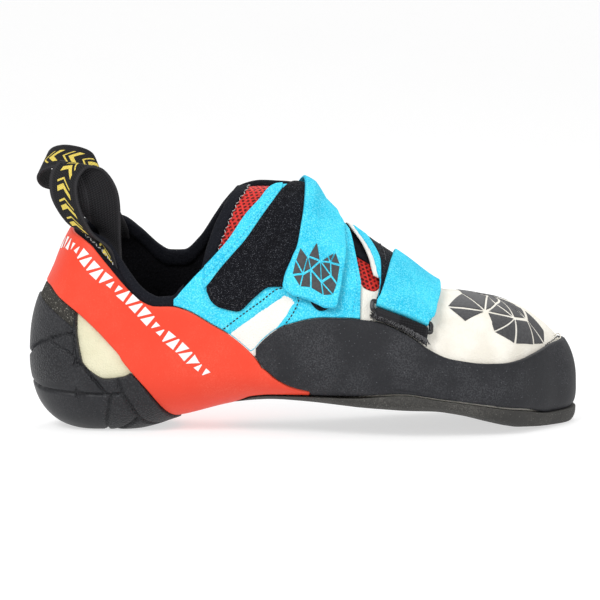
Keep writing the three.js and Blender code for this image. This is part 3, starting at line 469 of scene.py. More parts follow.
def stitchPiece(name, runs, material, length=2.0, gap=1.1, radius=0.22, zig=0.0, lift=0.1):
    # a row of thread stitches along each run of points and normals: small closed spindles
    shells = []
    for points, normals in runs:
        run = alongLengths(points, 0)
        middle = np.arange(gap + length / 2, run[-1] - gap, length + gap)
        if len(middle) == 0:
            continue
        spot = np.stack([np.interp(middle, run, points[:, k]) for k in range(3)], -1)
        up = unit(np.stack([np.interp(middle, run, normals[:, k]) for k in range(3)], -1))
        ahead = np.stack([np.interp(middle + 0.5, run, points[:, k]) for k in range(3)], -1) - spot
        ahead = unit(ahead - up * (ahead * up).sum(-1, keepdims=True))
        wide = np.cross(up, ahead)
        turnTo = (np.arange(len(middle)) % 2 * 2 - 1)[:, None] * zig
        ahead, wide = unit(ahead + wide * turnTo), unit(wide - ahead * turnTo)
        u = np.linspace(-1, 1, 6)
        a = np.linspace(0, 2 * np.pi, 7)
        thin = np.sqrt(np.clip(1 - u**4, 0, 1)) * radius
        rise = lift * (1 - u**2)
        shell = (
            spot[:, None, None]
            + ahead[:, None, None] * (u * length / 2)[None, :, None, None]
            + wide[:, None, None] * (thin[:, None] * np.cos(a))[None, ..., None]
            + up[:, None, None] * (rise[:, None] + thin[:, None] * np.sin(a))[None, ..., None]
        )
        shells.append(shell)
    shells = np.concatenate(shells)
    count = len(shells)
    one = gridFaces(6, 7, flip=True)
    faces = (one[None] + np.arange(count)[:, None, None] * 42).reshape(-1, 4)
    return makePiece(name, shells, faces, material)


def shardPiece(name, shards, lift, material, over=False, thick=0.14, cells=9):
    # printed shards: each is four corners by turn and angle, filled by blending its sides,
    # with a low rounded edge
    surfaces, faces, start = [], [], 0
    u = crowded(1, 1 / cells, rim=(0, 0.03, 0.08))
    for side, corners in shards:
        a, b, c, d = (np.array(corner, float) for corner in corners)
        s, t = (v[..., None] for v in np.meshgrid(u, u, indexing="ij"))
        spot = a * (1 - s) * (1 - t) + b * s * (1 - t) + c * s * t + d * (1 - s) * t
        rim = np.minimum(np.minimum(s, 1 - s), np.minimum(t, 1 - t))[..., 0]
        height = lift + thick * (0.3 + 0.7 * rounded(rim, 0.08))
        turn, angle = spot[..., 0], spot[..., 1]
        if over:
            outer, inner = overRidge(turn, angle, height), overRidge(turn, angle, lift)
        else:
            outer, inner = skin(side, turn, angle, height), skin(side, turn, angle, lift)
        grid = np.stack([outer, inner])
        quad = shellFaces(len(u), len(u))
        corner = [outer[0, 0], outer[-1, 0], outer[0, -1]]
        facing = np.cross(corner[1] - corner[0], corner[2] - corner[0]) @ (outer - inner)[4, 4]
        faces.append((quad if facing > 0 else quad[:, ::-1]) + start)
        surfaces.append(grid.reshape(-1, 3))
        start += len(surfaces[-1])
    return makePiece(name, np.concatenate(surfaces), np.concatenate(faces), material)


# Materials


class Wire:
    # a shader socket that takes part in sums; each operator adds one Math node
    def __init__(self, paint, socket):
        self.paint, self.socket = paint, socket

    def maths(self, operation, first, second=0.0):
        return self.paint.node("Math", {"operation": operation}, {0: first, 1: second})

    def __add__(self, other):
        return self.maths("ADD", self, other)

    __radd__ = __add__

    def __sub__(self, other):
        return self.maths("SUBTRACT", self, other)

    def __rsub__(self, other):
        return self.maths("SUBTRACT", other, self)

    def __mul__(self, other):
        return self.maths("MULTIPLY", self, other)

    __rmul__ = __mul__

    def __truediv__(self, other):
        return self.maths("DIVIDE", self, other)

    def called(self, operation, second=0.0):
        return self.maths(operation, self, second)

    def between(self, low, high):
        # 0 below low, 1 above high, smooth between
        return self.paint.node(
            "MapRange", {"interpolation_type": "SMOOTHSTEP"}, {0: self, 1: low, 2: high, 3: 0.0, 4: 1.0}
        )


class Paint:
    # one material; node() adds any node from its type, settings and socket values
    def __init__(self, name):
        self.material = bpy.data.materials.new(name)
        self.material.use_nodes = True
        self.tree = self.material.node_tree
        self.tree.nodes.clear()

    def node(self, kind, settings=None, sockets=None, output=0):
        made = self.tree.nodes.new("ShaderNode" + kind)
        for key, value in (settings or {}).items():
            setattr(made, key, value)
        for key, value in (sockets or {}).items():
            if isinstance(value, Wire):
                self.tree.links.new(value.socket, made.inputs[key])
            elif isinstance(value, tuple) and len(value) == 3 and made.inputs[key].type == "RGBA":
                made.inputs[key].default_value = (*value, 1)
            else:
                made.inputs[key].default_value = value
        return Wire(self, made.outputs[output]) if made.outputs else None

    def here(self):
        return self.node("TexCoord", output="Object")

    def axes(self):
        first = self.node("SeparateXYZ", sockets={0: self.here()})
        return first, *(Wire(self, first.socket.node.outputs[k]) for k in (1, 2))

    def wrap(self):
        # the piece's own map: x along it and y across it, in centimetres
        xyz = self.node("UVMap", {"uv_map": "Wrap"})
        split = self.node("SeparateXYZ", sockets={0: xyz})
        return split, Wire(self, split.socket.node.outputs[1])

    def value(self, name):
        return self.node("Attribute", {"attribute_name": name}, output="Fac")

    def noise(self, perMetre, detail=3.0, roughness=0.55):
        sockets = {"Vector": self.here(), "Scale": perMetre, "Detail": detail, "Roughness": roughness}
        return self.node("TexNoise", sockets=sockets)

    def cells(self, perMetre):
        # distance from the middle of each cell
        sockets = {"Vector": self.here(), "Scale": perMetre}
        return self.node("TexVoronoi", {"feature": "F1"}, sockets, "Distance")

    def mix(self, first, second, share):
        return self.node("Mix", {"data_type": "RGBA"}, {0: share, 6: first, 7: second}, 2)

    def bump(self, height, depth, under=None):
        sockets = {"Height": height, "Distance": depth, "Strength": 1.0}
        if under is not None:
            sockets["Normal"] = under
        return self.node("Bump", sockets=sockets)

    def finish(self, colour, roughness, normal=None, **fixed):
        sockets = {"Base Color": colour, "Roughness": roughness}
        if normal is not None:
            sockets["Normal"] = normal
        for key, value in fixed.items():
            sockets[key.replace("_", " ").title().replace("Ior", "IOR")] = value
        shader = self.node("BsdfPrincipled", sockets=sockets)
        self.node("OutputMaterial", sockets={"Surface": shader})
        return self.material


def leatherMaterial(name, light, dark, crease=0.25, roughness=0.62):
    # fine cells for the grain, wider ones for creases, two noises for its mottling
    paint = Paint(name)
    mottle = paint.noise(70, 4)
    grain = paint.cells(1500)
    fleck = paint.noise(2600, 2)
    rim = paint.value("rim")
    colour = paint.mix(dark, light, mottle.between(0.3, 0.62))
    colour = paint.mix(colour, tuple(0.72 * c for c in dark), (1 - rim.between(0.0, 1.1)) * 0.5)
    pore = (fleck.between(0.62, 0.74)) * 0.22
    colour = paint.mix(colour, tuple(0.6 * c for c in dark), pore)
    creases = paint.noise(420, 5, 0.7)
    normal = paint.bump(creases, 0.0006 * crease)
    normal = paint.bump(grain, 0.00018, normal)
    return paint.finish(colour, mottle * 0.12 + roughness, normal, specular_ior_level=0.35)


def rubberMaterial(name, base, dust, dustShare, roughness=0.55, speck=0.5, depth=0.00008, stipple=0):
    # black or coloured rubber: cloudy dust, fine bright specks, shallow moulded texture
    paint = Paint(name)
    cloud = paint.noise(38, 5, 0.6)
    fine = paint.noise(1500, 3, 0.65)
    speckle = paint.cells(700)
    rim = paint.value("rim")
    dusty = cloud.between(0.4, 0.66) * dustShare
    grains = fine.between(0.46, 0.56)
    colour = paint.mix(base, dust, dusty * (grains * 0.75 + 0.25) + grains * 0.12 * speck)
    bright = tuple(min(1.0, 3.2 * c) for c in dust)
    colour = paint.mix(colour, bright, (1 - speckle.between(0.08, 0.2)) * grains * speck)
    colour = paint.mix(colour, dust, (1 - rim.between(0.0, 0.8)) * 0.25)
    if stipple:
        # raised grains everywhere but on the smooth lower back of the heel
        x, _, z = paint.axes()
        smooth = (1 - x.between(-0.092, -0.089)) * (1 - z.between(0.0215, 0.0245))
        grain = paint.cells(1050)
        rough = 1 - smooth
        colour = paint.mix(colour, dust, (1 - grain.between(0.15, 0.55)) * rough * 0.5)
        normal = paint.bump(grain * rough, stipple)
        normal = paint.bump(fine, depth * 0.5, normal)
    else:
        normal = paint.bump(fine, depth)
    normal = paint.bump(cloud, 0.0004, normal)
    return paint.finish(
        colour, dusty * 0.2 + fine * 0.08 + (roughness - 0.04), normal, specular_ior_level=0.3
    )


def suedeMaterial(name, light, dark, deep):
    # short nap: bright and dark fibres in fine noise, brushed patches, darker pores
    paint = Paint(name)
    patches = paint.noise(60, 4, 0.6)
    nap = paint.noise(1500, 3, 0.7)
    pores = paint.noise(1100, 2, 0.5)
    rim = paint.value("rim")
    colour = paint.mix(dark, light, patches.between(0.3, 0.68))
    colour = paint.mix(colour, deep, pores.between(0.56, 0.68) * 0.35)
    palest = tuple(min(1.0, c * 1.15 + 0.2) for c in light)
    colour = paint.mix(colour, palest, nap.between(0.5, 0.58) * 0.5)
    colour = paint.mix(colour, deep, (1 - rim.between(0.0, 0.5)) * 0.45)
    normal = paint.bump(nap, 0.00022)
    normal = paint.bump(patches, 0.0008, normal)
    return paint.finish(
        colour, 0.92, normal, specular_ior_level=0.12, sheen_weight=0.25, sheen_roughness=0.5,
        sheen_tint=(*light, 1),
    )


def pileMaterial(name, base, fibre, perMetre=1300, shine=0.6, share=0.5):
    # hook and loop pile or knitted lining: curled fibres that catch light here and there
    paint = Paint(name)
    curls = paint.noise(perMetre, 4, 0.75)
    knots = paint.cells(perMetre * 0.75)
    clumps = paint.noise(160, 3)
    lit = curls.between(0.5, 0.62) * (1 - knots.between(0.2, 0.6)) * share
    colour = paint.mix(base, fibre, lit)
    colour = paint.mix(colour, tuple(0.4 * c for c in base), clumps.between(0.5, 0.75) * 0.6)
    normal = paint.bump(curls, 0.0006)
    normal = paint.bump(knots, 0.0003, normal)
    return paint.finish(colour, shine, normal, specular_ior_level=0.12)


def meshMaterial(name, thread, shade, holeShade):
    # knitted mesh: rows of uneven holes, each row half a cell along from the last, threads between; the
    # holes are painted dark, as painted shade inside them
    paint = Paint(name)
    along, up = paint.wrap()
    wobble = paint.noise(700, 3) - 0.5
    drift = paint.noise(330, 2) - 0.5
    row = up / 0.17 + drift * 0.5
    rowNumber = row.called("FLOOR")
    shift = (rowNumber * 0.5).called("FRACT")
    x = (along / 0.235 + shift + wobble * 0.55).called("FRACT") - 0.5
    y = row.called("FRACT") - 0.5
    reach = ((x * x) * 1.3 + (y * y) * 0.8).called("SQRT") + wobble * 0.34 + drift * 0.12
    opening = 1 - reach.between(0.17, 0.36)
    fibre = ((along * 46 + up * 30).called("SINE") * 0.5 + 0.5) * 0.4
    colour = paint.mix(thread, shade, fibre + wobble * 0.9 + drift * 0.5)
    # the openings take the dark hole colour: painted shade in the holes
    colour = paint.mix(colour, holeShade, opening * 0.9)
    normal = paint.bump(1 - opening, 0.0011)
    normal = paint.bump(fibre, 0.00015, normal)
    return paint.finish(colour, 0.66, normal, specular_ior_level=0.3)


def webbingMaterial(name, base, lit, motif=None, width=1.5):
    # narrow weave: ribs across the tape, broken by the warp, and a woven motif along its middle
    paint = Paint(name)
    along, across = paint.wrap()
    rib = (along * 62).called("SINE") * 0.5 + 0.5
    warp = (across * 48).called("SINE") * 0.5 + 0.5
    weave = rib * 0.6 + warp * 0.4
    fuzz = paint.noise(1800, 3)
    colour = paint.mix(base, lit, weave.between(0.45, 0.95) * 0.7 + fuzz * 0.25)
    # brighter along both edges of the tape, from the lit colour: painted highlight
    edge = ((across - width / 2).called("ABSOLUTE")).between(width / 2 - 0.13, width / 2 - 0.09)
    colour = paint.mix(colour, tuple(1.6 * c for c in lit), edge * 0.5)
    if motif:
        # a thick and a thin chevron in turn, on the outer face only
        middle = (across - width / 2).called("ABSOLUTE")
        slant = ((along + middle * 0.9) / 0.92).called("FRACT")
        thick = slant.between(0.1, 0.12) * (1 - slant.between(0.36, 0.38))
        thin = slant.between(0.56, 0.58) * (1 - slant.between(0.66, 0.68))
        inside = 1 - middle.between(0.34, 0.36)
        shape = (thick + thin) * inside * paint.value("face")
        colour = paint.mix(colour, motif, shape * (weave * 0.25 + 0.75))
    normal = paint.bump(weave, 0.00025)
    normal = paint.bump(fuzz, 0.0001, normal)
    return paint.finish(colour, 0.75, normal, specular_ior_level=0.2)


def plainMaterial(name, base, second, roughness, perMetre=900, depth=0.0001):
    paint = Paint(name)
    fine = paint.noise(perMetre, 3)
    normal = paint.bump(fine, depth)
    return paint.finish(paint.mix(base, second, fine.between(0.35, 0.65)), roughness, normal)


finishes = {
    "cream": leatherMaterial("cream_leather", (0.86, 0.83, 0.75), (0.78, 0.74, 0.65)),
    "white": leatherMaterial("white_leather", (0.83, 0.81, 0.76), (0.77, 0.75, 0.7), 0.15),
    "straw": leatherMaterial("straw_leather", (0.76, 0.73, 0.53), (0.69, 0.66, 0.46), 0.5),
    "lining": pileMaterial("black_lining", (0.006, 0.006, 0.008), (0.03, 0.03, 0.034), 1500, 0.85),
    "knit": pileMaterial("black_knit", (0.010, 0.011, 0.016), (0.05, 0.052, 0.062), 2000, 0.8),
    "speckled": pileMaterial("speckled_knit", (0.045, 0.043, 0.038), (0.42, 0.40, 0.35), 1500, 0.8,
                             0.8),
    "coral": rubberMaterial("coral_rubber", (0.78, 0.054, 0.022), (0.86, 0.13, 0.075), 0.3, 0.48, 0.1),
    "charcoal": rubberMaterial("charcoal_rubber", (0.011, 0.0115, 0.0145), (0.05, 0.051, 0.056),
                               0.75, 0.6, 0.5),
    "heel": rubberMaterial("heel_rubber", (0.011, 0.0115, 0.014), (0.045, 0.046, 0.05), 0.5, 0.42, 0.35,
                           stipple=0.00035),
    "sole": rubberMaterial("sole_rubber", (0.034, 0.033, 0.031), (0.10, 0.096, 0.088), 0.8, 0.7, 0.5,
                           0.0002),
    "turquoise": suedeMaterial("turquoise_suede", (0.05, 0.62, 0.83), (0.022, 0.47, 0.70),
                               (0.01, 0.27, 0.45)),
    "pile": pileMaterial("loop_pile", (0.0045, 0.005, 0.008), (0.17, 0.178, 0.20), 2400, 0.7, 0.85),
    "redMesh": meshMaterial("red_mesh", (0.74, 0.035, 0.026), (0.34, 0.01, 0.008),
                            (0.05, 0.004, 0.004)),
    "webbing": webbingMaterial("black_webbing", (0.004, 0.004, 0.005), (0.018, 0.018, 0.02)),
    "loops": webbingMaterial("loop_webbing", (0.006, 0.006, 0.007), (0.024, 0.023, 0.025),
                             (0.80, 0.63, 0.12)),
    "ring": plainMaterial("ring_plastic", (0.008, 0.008, 0.009), (0.014, 0.014, 0.015), 0.22, 300,
                          0.00005),
    "print": plainMaterial("grey_print", (0.035, 0.035, 0.038), (0.055, 0.055, 0.058), 0.62),
    "whitePrint": plainMaterial("white_print", (0.86, 0.86, 0.85), (0.80, 0.80, 0.79), 0.5),
    "blackThread": plainMaterial("black_thread", (0.012, 0.012, 0.014), (0.03, 0.03, 0.034), 0.7, 2500),
    "paleThread": plainMaterial("pale_thread", (0.50, 0.49, 0.47), (0.32, 0.31, 0.30), 0.8, 2500),
    "blueThread": plainMaterial("blue_thread", (0.02, 0.32, 0.52), (0.03, 0.45, 0.68), 0.8, 2500),
    "fray": plainMaterial("grey_fray", (0.16, 0.16, 0.165), (0.06, 0.06, 0.065), 0.8, 1500),
    "insole": pileMaterial("insole_cloth", (0.02, 0.02, 0.022), (0.07, 0.07, 0.075), 1400, 0.9),
}
print("materials made:", len(finishes))

# Edges shared by several panels: turn, angle
collarOuter = [
    (0, 60), (0.05, 60.5), (0.1, 58.5), (0.142, 53), (0.174, 47.5), (0.194, 40), (0.214, 32),
    (0.23, 27), (0.246, 24), (0.262, 22.5), (0.282, 22.5), (0.3, 26), (0.316, 29.5),
    (0.348, 36.5), (0.374, 44), (0.4, 55.5), (0.422, 65), (0.438, 75), (0.45, 79), (0.49, 82),
    (0.54, 83), (0.558, 80), (0.576, 56), (0.584, 46), (0.59, 44.5), (0.602, 45), (0.612, 48),
    (0.622, 66), (0.63, 90), (1, 90),
]
collarInner = [
    (0, 60), (0.05, 61), (0.1, 61), (0.165, 59.5), (0.192, 57), (0.222, 48), (0.254, 38.5),
    (0.27, 36), (0.294, 35.5), (0.32, 40.5), (0.346, 51.5), (0.362, 60), (0.392, 75),
    (0.425, 82), (0.52, 83), (0.578, 84), (0.612, 90), (1, 90),
]
bandTop = [
    (0, 57), (0.05, 57.5), (0.1, 54), (0.148, 46), (0.174, 37.5), (0.206, 28), (0.23, 22.5),
    (0.254, 20), (0.282, 19.5), (0.304, 18), (0.348, 12.5), (0.38, 9), (0.41, 4.5), (0.428, 0),
    (0.45, -15), (0.474, -25), (0.49, -28), (0.51, -30),
]
bandLow = [
    (0, 29), (0.05, 28), (0.094, 23.5), (0.126, 19), (0.158, 12.5), (0.182, 6.5), (0.198, 2),
    (0.216, -9.5), (0.246, -30), (0.266, -49), (0.282, -68), (0.3, -90), (1, -90),
]
randTop = [
    (0.4, 4), (0.412, 5), (0.428, 8.5), (0.45, 12.5), (0.49, 16.5), (0.532, 21.5), (0.574, 26),
    (0.622, 29), (0.66, 27.2), (0.69, 24), (0.726, 21.3), (0.766, 19.9), (0.802, 20.8),
    (0.838, 23.8), (0.872, 27.2), (0.904, 30.2), (0.94, 33), (0.97, 34.6), (1, 35),
]
# turn, outer side, inner side: height of the line where rand and sole meet, shares of the instep
soleLine = [
    (0.36, 0.115, 0.115), (0.39, 0.14, 0.14), (0.44, 0.161, 0.161), (0.49, 0.165, 0.165),
    (0.57, 0.168, 0.162), (0.65, 0.184, 0.163), (0.706, 0.163, 0.145), (0.77, 0.134, 0.12),
    (0.828, 0.104, 0.096), (0.918, 0.068, 0.072), (1, 0.066, 0.066),
]
soleEnd = [
    (0.36, -90), (0.368, -84), (0.376, -73), (0.392, -60), (0.42, -42), (0.46, -10), (1, -10),
]


def collar(side, turn):
    return np.where(side < 0, edge(collarOuter, turn), edge(collarInner, turn))


def soleTop(side, turn, shift, offset, form=footForm):
    height = foot["instep"] * np.where(
        side < 0, through(soleLine, turn, 1, True), through(soleLine, turn, 2, True)
    )
    line = angleAt(side, turn, height + shift, offset, form)
    end = edge(soleEnd, turn)
    if shift > 0:
        end = end + apart(soleEnd, side, turn, 4 * layers["gap"])
    return np.where(turn < 0.46, np.minimum(line, end), line)


# Upper: cream leather outside, black lining inside, a soft binding rolled over the collar
upperPart = {"leather": 0.95, "lining": 0.8, "underEdge": [
    (0, -90), (0.392, -90), (0.425, -74), (0.52, -64), (0.74, -62), (1, -62)]}


def softLeather(points, side, turn, angle, rim):
    return 0.12 * ripple(points, 16) + 0.05 * ripple(points, 5, 2.0) - 0.05


def upperLow(side, turn):
    return edge(upperPart["underEdge"], turn)


panel("upper_leather", "all", 0, 1, upperLow, lambda s, t: collar(s, t) - 0.6,
      layers["wall"] - upperPart["leather"], upperPart["leather"], finishes["cream"], "upper",
      step=1.2, count=52, detail=softLeather, stands=("upper",))
panel("upper_lining", "all", 0, 1, upperLow, lambda s, t: collar(s, t) - 0.4,
      0.0, upperPart["lining"], finishes["lining"], "upper", step=1.6, count=40)


def makeBinding():
    # a flat hose folded over the collar's edge: height over the edge and offset, in millimetres
    outline = np.array([
        (-4.6, 2.2), (-4.4, 2.6), (-3.0, 2.85), (-1.2, 2.9), (0.1, 2.7), (0.8, 2.0), (1.0, 1.0),
        (0.8, 0.0), (0.1, -0.7), (-1.2, -0.95), (-3.5, -0.95), (-6.0, -0.85), (-6.3, -0.3),
        (-6.0, 0.0), (-0.6, 0.0), (-0.5, 2.15), (-4.6, 2.2),
    ])
    reachOuter, reachInner = 0.3, 0.5
    turn = np.concatenate([np.linspace(reachInner, 0, 130), np.linspace(0, reachOuter, 120)[1:]])
    side = np.concatenate([np.full(130, innerSide), np.full(119, outerSide)])
    top = collar(side, turn)
    scale = perDegree(side, turn, top)
    steep = np.gradient(top * scale) / (np.gradient(turn * halfGirth * side) + 1e-6)
    lean = np.minimum(np.hypot(1, steep), 1.8)
    angle = top[:, None] + outline[None, :, 0] * (lean / scale)[:, None]
    shape = angle.shape
    grid = skin(np.broadcast_to(side[:, None], shape), np.broadcast_to(turn[:, None], shape), angle,
                np.broadcast_to(outline[None, :, 1], shape))
    ends = [np.broadcast_to(grid[k].mean(0), grid[:1].shape) for k in (0, -1)]
    grid = np.concatenate([ends[0], grid, ends[1]])
    uv = np.stack([alongLengths(grid, 0), alongLengths(grid, 1)], -1) / 10
    return makePiece("collar_binding", grid, gridFaces(*grid.shape[:2]), finishes["knit"], uv)


makeBinding()
panel("heel_collar", "heel", 0, 0.3, lambda s, t: edge(bandTop, t) - 3,
      lambda s, t: np.maximum(collar(s, t) - 0.5, edge(bandTop, t) - 1), layers["wall"] - 0.05, 0.5,
      finishes["knit"], "upper", step=1.2, count=20, detail=softLeather)
print("upper made")

# Heel: red tension band, sculpted rubber cup, straw leather in its cutout, woven strip above it
heelPart = {
    "cutout": [
        (0, 90), (0.124, 90), (0.126, 18), (0.13, 8), (0.137, 0), (0.15, -8.5), (0.174, -15.5),
        (0.198, -14), (0.216, -9.5), (0.218, 90), (1, 90),
    ],
    "under": [(0, 6.4), (0.2, 6.4), (0.25, 4.6), (0.282, 2.8), (0.3, 2.2)],
    "sideThick": 2.4,
    "weaveLine": [(0, 24), (0.034, 22.5), (0.076, 19.5), (0.1, 16.5), (0.122, 13), (0.13, 10)],
    # grooves by turn and angle, cut this wide and deep
    "grooves": [
        [(0, 1), (0.018, 1.5), (0.044, 5), (0.078, 8), (0.104, 10), (0.13, 11)],
        [(0.08, 7.6), (0.118, 3), (0.14, -5), (0.158, -17.5), (0.172, -27)],
        [
            (0, -21), (0.01, -21.5), (0.062, -26), (0.098, -27), (0.136, -28), (0.172, -28.5),
            (0.2, -27.5),
        ],
        [(0.182, -29), (0.177, -44), (0.172, -62), (0.176, -78)],
        [(0.194, -15), (0.2, -26), (0.216, -39.5), (0.228, -50.5), (0.246, -63), (0.268, -76)],
        [(0.176, -76), (0.2, -62), (0.226, -49)],
    ],
    "grooveWide": 0.7,
    "grooveDeep": 1.7,
}


def tensionLow(side, turn):
    return np.where(
        turn < 0.362, edge(bandLow, turn),
        soleTop(side, turn, layers["gap"] / 2, overUpper + layers["band"]),
    )


def rubberSkin(points, side, turn, angle, rim):
    return 0.08 * ripple(points, 22, 1.0) + 0.03 * ripple(points, 6, 4.0)


panel("tension_band", "heel", 0, 0.505, tensionLow, lambda s, t: edge(bandTop, t),
      overUpper, layers["band"], finishes["coral"], "tension_rand", step=1.2, count=46,
      roundTo=0.9, lip=0.45, detail=rubberSkin, stands=("heel_rand",))


def cupTop(side, turn):
    top = edge(bandLow, turn) - apart(bandLow, side, turn, layers["gap"])
    top = np.minimum(top, edge(heelPart["cutout"], turn))
    return np.maximum(np.where(turn < 0.124, edge(heelPart["weaveLine"], turn), top), -90)


grooveLines = {
    side: [
        skin(side, *betweenSpots(spots, 110), overUpper + heelPart["sideThick"])
        for spots in heelPart["grooves"]
    ]
    for side in (outerSide, innerSide)
}


def cupDetail(points, side, turn, angle, rim):
    share = np.clip((-angle - 15) / 50, 0, 1)
    under = edge(heelPart["under"], turn)
    grow = (under - heelPart["sideThick"]) * share * share * (3 - 2 * share)
    outer = skin(side, turn, angle, overUpper + heelPart["sideThick"])
    groove = np.zeros(turn.shape)
    for which in (outerSide, innerSide):
        for path in grooveLines[which]:
            distance = np.where(side == which, lineDistance(outer, path), 99)
            groove = np.maximum(groove, np.exp(-((distance / heelPart["grooveWide"]) ** 2)))
    return grow - heelPart["grooveDeep"] * groove + 0.05 * ripple(points, 14, 3.0)


panel("heel_cup_rubber", "heel", 0, 0.29, lambda s, t: t * 0 - 90, cupTop, overUpper,
      heelPart["sideThick"], finishes["heel"], "heel_rubber", step=0.8, count=120, closedLow=True,
      roundTo=0.9, lip=0.4, detail=cupDetail, soft=3.0, flatFloor=True, stands=("heel_cup",))
panel("heel_weave", "heel", 0, 0.128,
      lambda s, t: edge(heelPart["weaveLine"], t) - 1.5,
      lambda s, t: edge(bandLow, t) - 0.2, overUpper, 1.5, finishes["speckled"], "heel_rubber",
      step=1.2, count=14)
for which, word in ((outerSide, "outer"), (innerSide, "inner")):
    panel("heel_leather_" + word, word, 0.12, 0.224,
          lambda s, t: np.maximum(edge(heelPart["cutout"], np.clip(t, 0.127, 0.216)), -16.5) - 4,
          lambda s, t: edge(bandLow, t) + 3, layers["wall"] + 0.05, 0.35, finishes["straw"],
          "upper", step=1.2, count=22, detail=softLeather)
print("heel made")

# Sole and toe rand
solePart = {
    "back": 0.368,
    "outerLift": [(0.58, 0), (0.66, 1.6), (0.72, 3.2), (0.82, 3.2), (0.9, 1.5), (1, 0)],
}


def makeSole():
    side, turn = wayAlong("toe", solePart["back"], 1, 1.3)
    innerTop = soleTop(side, turn, -layers["gap"], overUpper)
    outerTop = soleTop(side, turn, -layers["gap"], 0, treadForm)
    angle = angleGrid(side, turn, np.full(turn.shape, -90.0), innerTop, 60, closedLow=True)
    share = (angle + 90) / (innerTop + 90)[:, None]
    sides, turns = (np.broadcast_to(v[:, None], angle.shape) for v in (side, turn))
    inner = skin(sides, turns, angle, overUpper)
    outer = formPoint(sides, turns, -90 + share * (outerTop + 90)[:, None], treadForm)
    up, along = alongLengths(inner, 1), alongLengths(inner, 0)
    rim = np.minimum(up[:, -1:] - up, np.minimum(along, along[-1:] - along))
    inward = unit(inner - outer)
    outer = outer + inward * (0.5 * (1 - rounded(rim, 0.6)) + 0.05 * ripple(outer, 9))[..., None]
    across = np.linalg.norm((outer - outer[:, :1])[..., :2], axis=-1)
    across = across / across.max(1, keepdims=True)
    below = np.clip((outer[:, -1:, 2] - outer[..., 2]) / 7, 0, 1)
    lift = np.where(sides < 0, edge(solePart["outerLift"], turns), 0) * across**2 * below
    outer[..., 2] = np.maximum(outer[..., 2], 0) + lift
    uv = np.stack([along, up], -1) / 10
    rows, cols = angle.shape
    return makePiece("sole", np.stack([outer, inner]), shellFaces(rows, cols, False, "sen"),
                     finishes["sole"], np.stack([uv, uv]), ("outsole",),
                     {"rim": np.stack([rim, rim])})


makeSole()


def randLow(side, turn):
    line = soleTop(side, np.maximum(turn, 0.46), layers["gap"] / 2, overUpper + layers["rand"])
    line = line - 4 * np.clip((turn - 0.85) / 0.1, 0, 1)
    beside = edge(bandTop, turn) + apart(bandTop, side, turn, layers["gap"])
    return np.where(turn < 0.508, np.maximum(line, beside), line)


def randDetail(points, side, turn, angle, rim):
    # a few pulled wrinkles at the ball, and below the anchor one fold running down to the toe
    pull = np.exp(-(((turn - 0.64) / 0.03) ** 2)) * np.exp(-(((angle + 4) / 9) ** 2))
    fold = angle - 4.2 + 70 * (turn - 0.64)
    near = np.clip((turn - 0.632) / 0.01, 0, 1) * np.clip((0.686 - turn) / 0.012, 0, 1) * (side < 0)
    crease = 0.5 * np.exp(-(((fold + 3) / 2.4) ** 2)) - 0.5 * np.exp(-((fold / 1.5) ** 2))
    wrinkles = 0.25 * pull * np.sin(points[..., 2] * 1.1) + near * crease
    return rubberSkin(points, side, turn, angle, rim) + wrinkles


panel("toe_rand_rubber", "toe", 0.418, 1, randLow, lambda s, t: edge(randTop, t), overUpper,
      layers["rand"], finishes["charcoal"], "rand", step=1.2, count=44, roundTo=1.3, lip=0.3,
      detail=randDetail, stands=("toe_rand",))

insolePart = {"sunk": 2.3, "thick": 2.0, "edge": -52}
panel("insole_sheet", "all", 0, 1, lambda s, t: t * 0 - 90, lambda s, t: t * 0 + insolePart["edge"],
      -insolePart["sunk"], insolePart["thick"], finishes["insole"], "insole", step=2.4, count=26,
      closedLow=True, stands=("insole",))
print("sole and rand made")

# Side panels of turquoise suede, with a white window in the outer one
window = {
    "top": [
        (0.366, 8.0), (0.374, 9.8), (0.42, 17.4), (0.456, 23.3), (0.464, 24.6), (0.47, 24.4),
        (0.481, 22.4), (0.484, 20),
    ],
    "low": [
        (0.366, 6.0), (0.38, 4.0), (0.412, 3.6), (0.43, 7.5), (0.448, 12.2), (0.465, 17),
        (0.481, 22.0), (0.484, 20),
    ],
    "deep": 0.85,
}


def quarterLow(side, turn):
    beside = edge(bandTop, turn) + apart(bandTop, side, turn, layers["gap"])
    above = edge(randTop, turn) + apart(randTop, side, turn, layers["gap"])
    low = np.where(turn < 0.49, beside, -90)
    return np.maximum(low, np.where(turn > 0.4, above, -90))


def windowDepth(side, turn, angle):
    # millimetres inside the window's outline, below zero outside
    top, low = edge(window["top"], turn), edge(window["low"], turn)
    scale = perDegree(side, turn, angle)
    inside = np.minimum((top - angle) / 1.18, (angle - low) / 1.1) * scale
    return np.where((side < 0) & (turn > 0.36) & (turn < 0.486), inside, -9)


def quarterDetail(points, side, turn, angle, rim):
    hollow = window["deep"] * np.clip(windowDepth(side, turn, angle) / 1.1 + 0.6, 0, 1)
    return 0.1 * ripple(points, 15, 5.0) + 0.04 * ripple(points, 4, 1.0) - hollow


for kind, start, end in (("outer", 0.284, 0.583), ("inner", 0.21, 0.565)):
    panel("quarter_" + kind, kind, start, end, quarterLow,
          lambda s, t: np.maximum(collar(s, t) - np.where(s > 0, 7, 0.5), quarterLow(s, t) + 2),
          overUpper, layers["quarter"], finishes["turquoise"], "suede", step=0.7, count=100,
          roundTo=0.6,
          detail=quarterDetail, soft=2.0,
          stands=("quarter_lateral" if kind == "outer" else "quarter_medial",))
panel("window_inlay", "outer", 0.37, 0.482, lambda s, t: edge(window["low"], t) - 0.6,
      lambda s, t: edge(window["top"], t) + 0.6, overUpper, 0.5, finishes["white"], "upper",
      step=1.0, count=18)

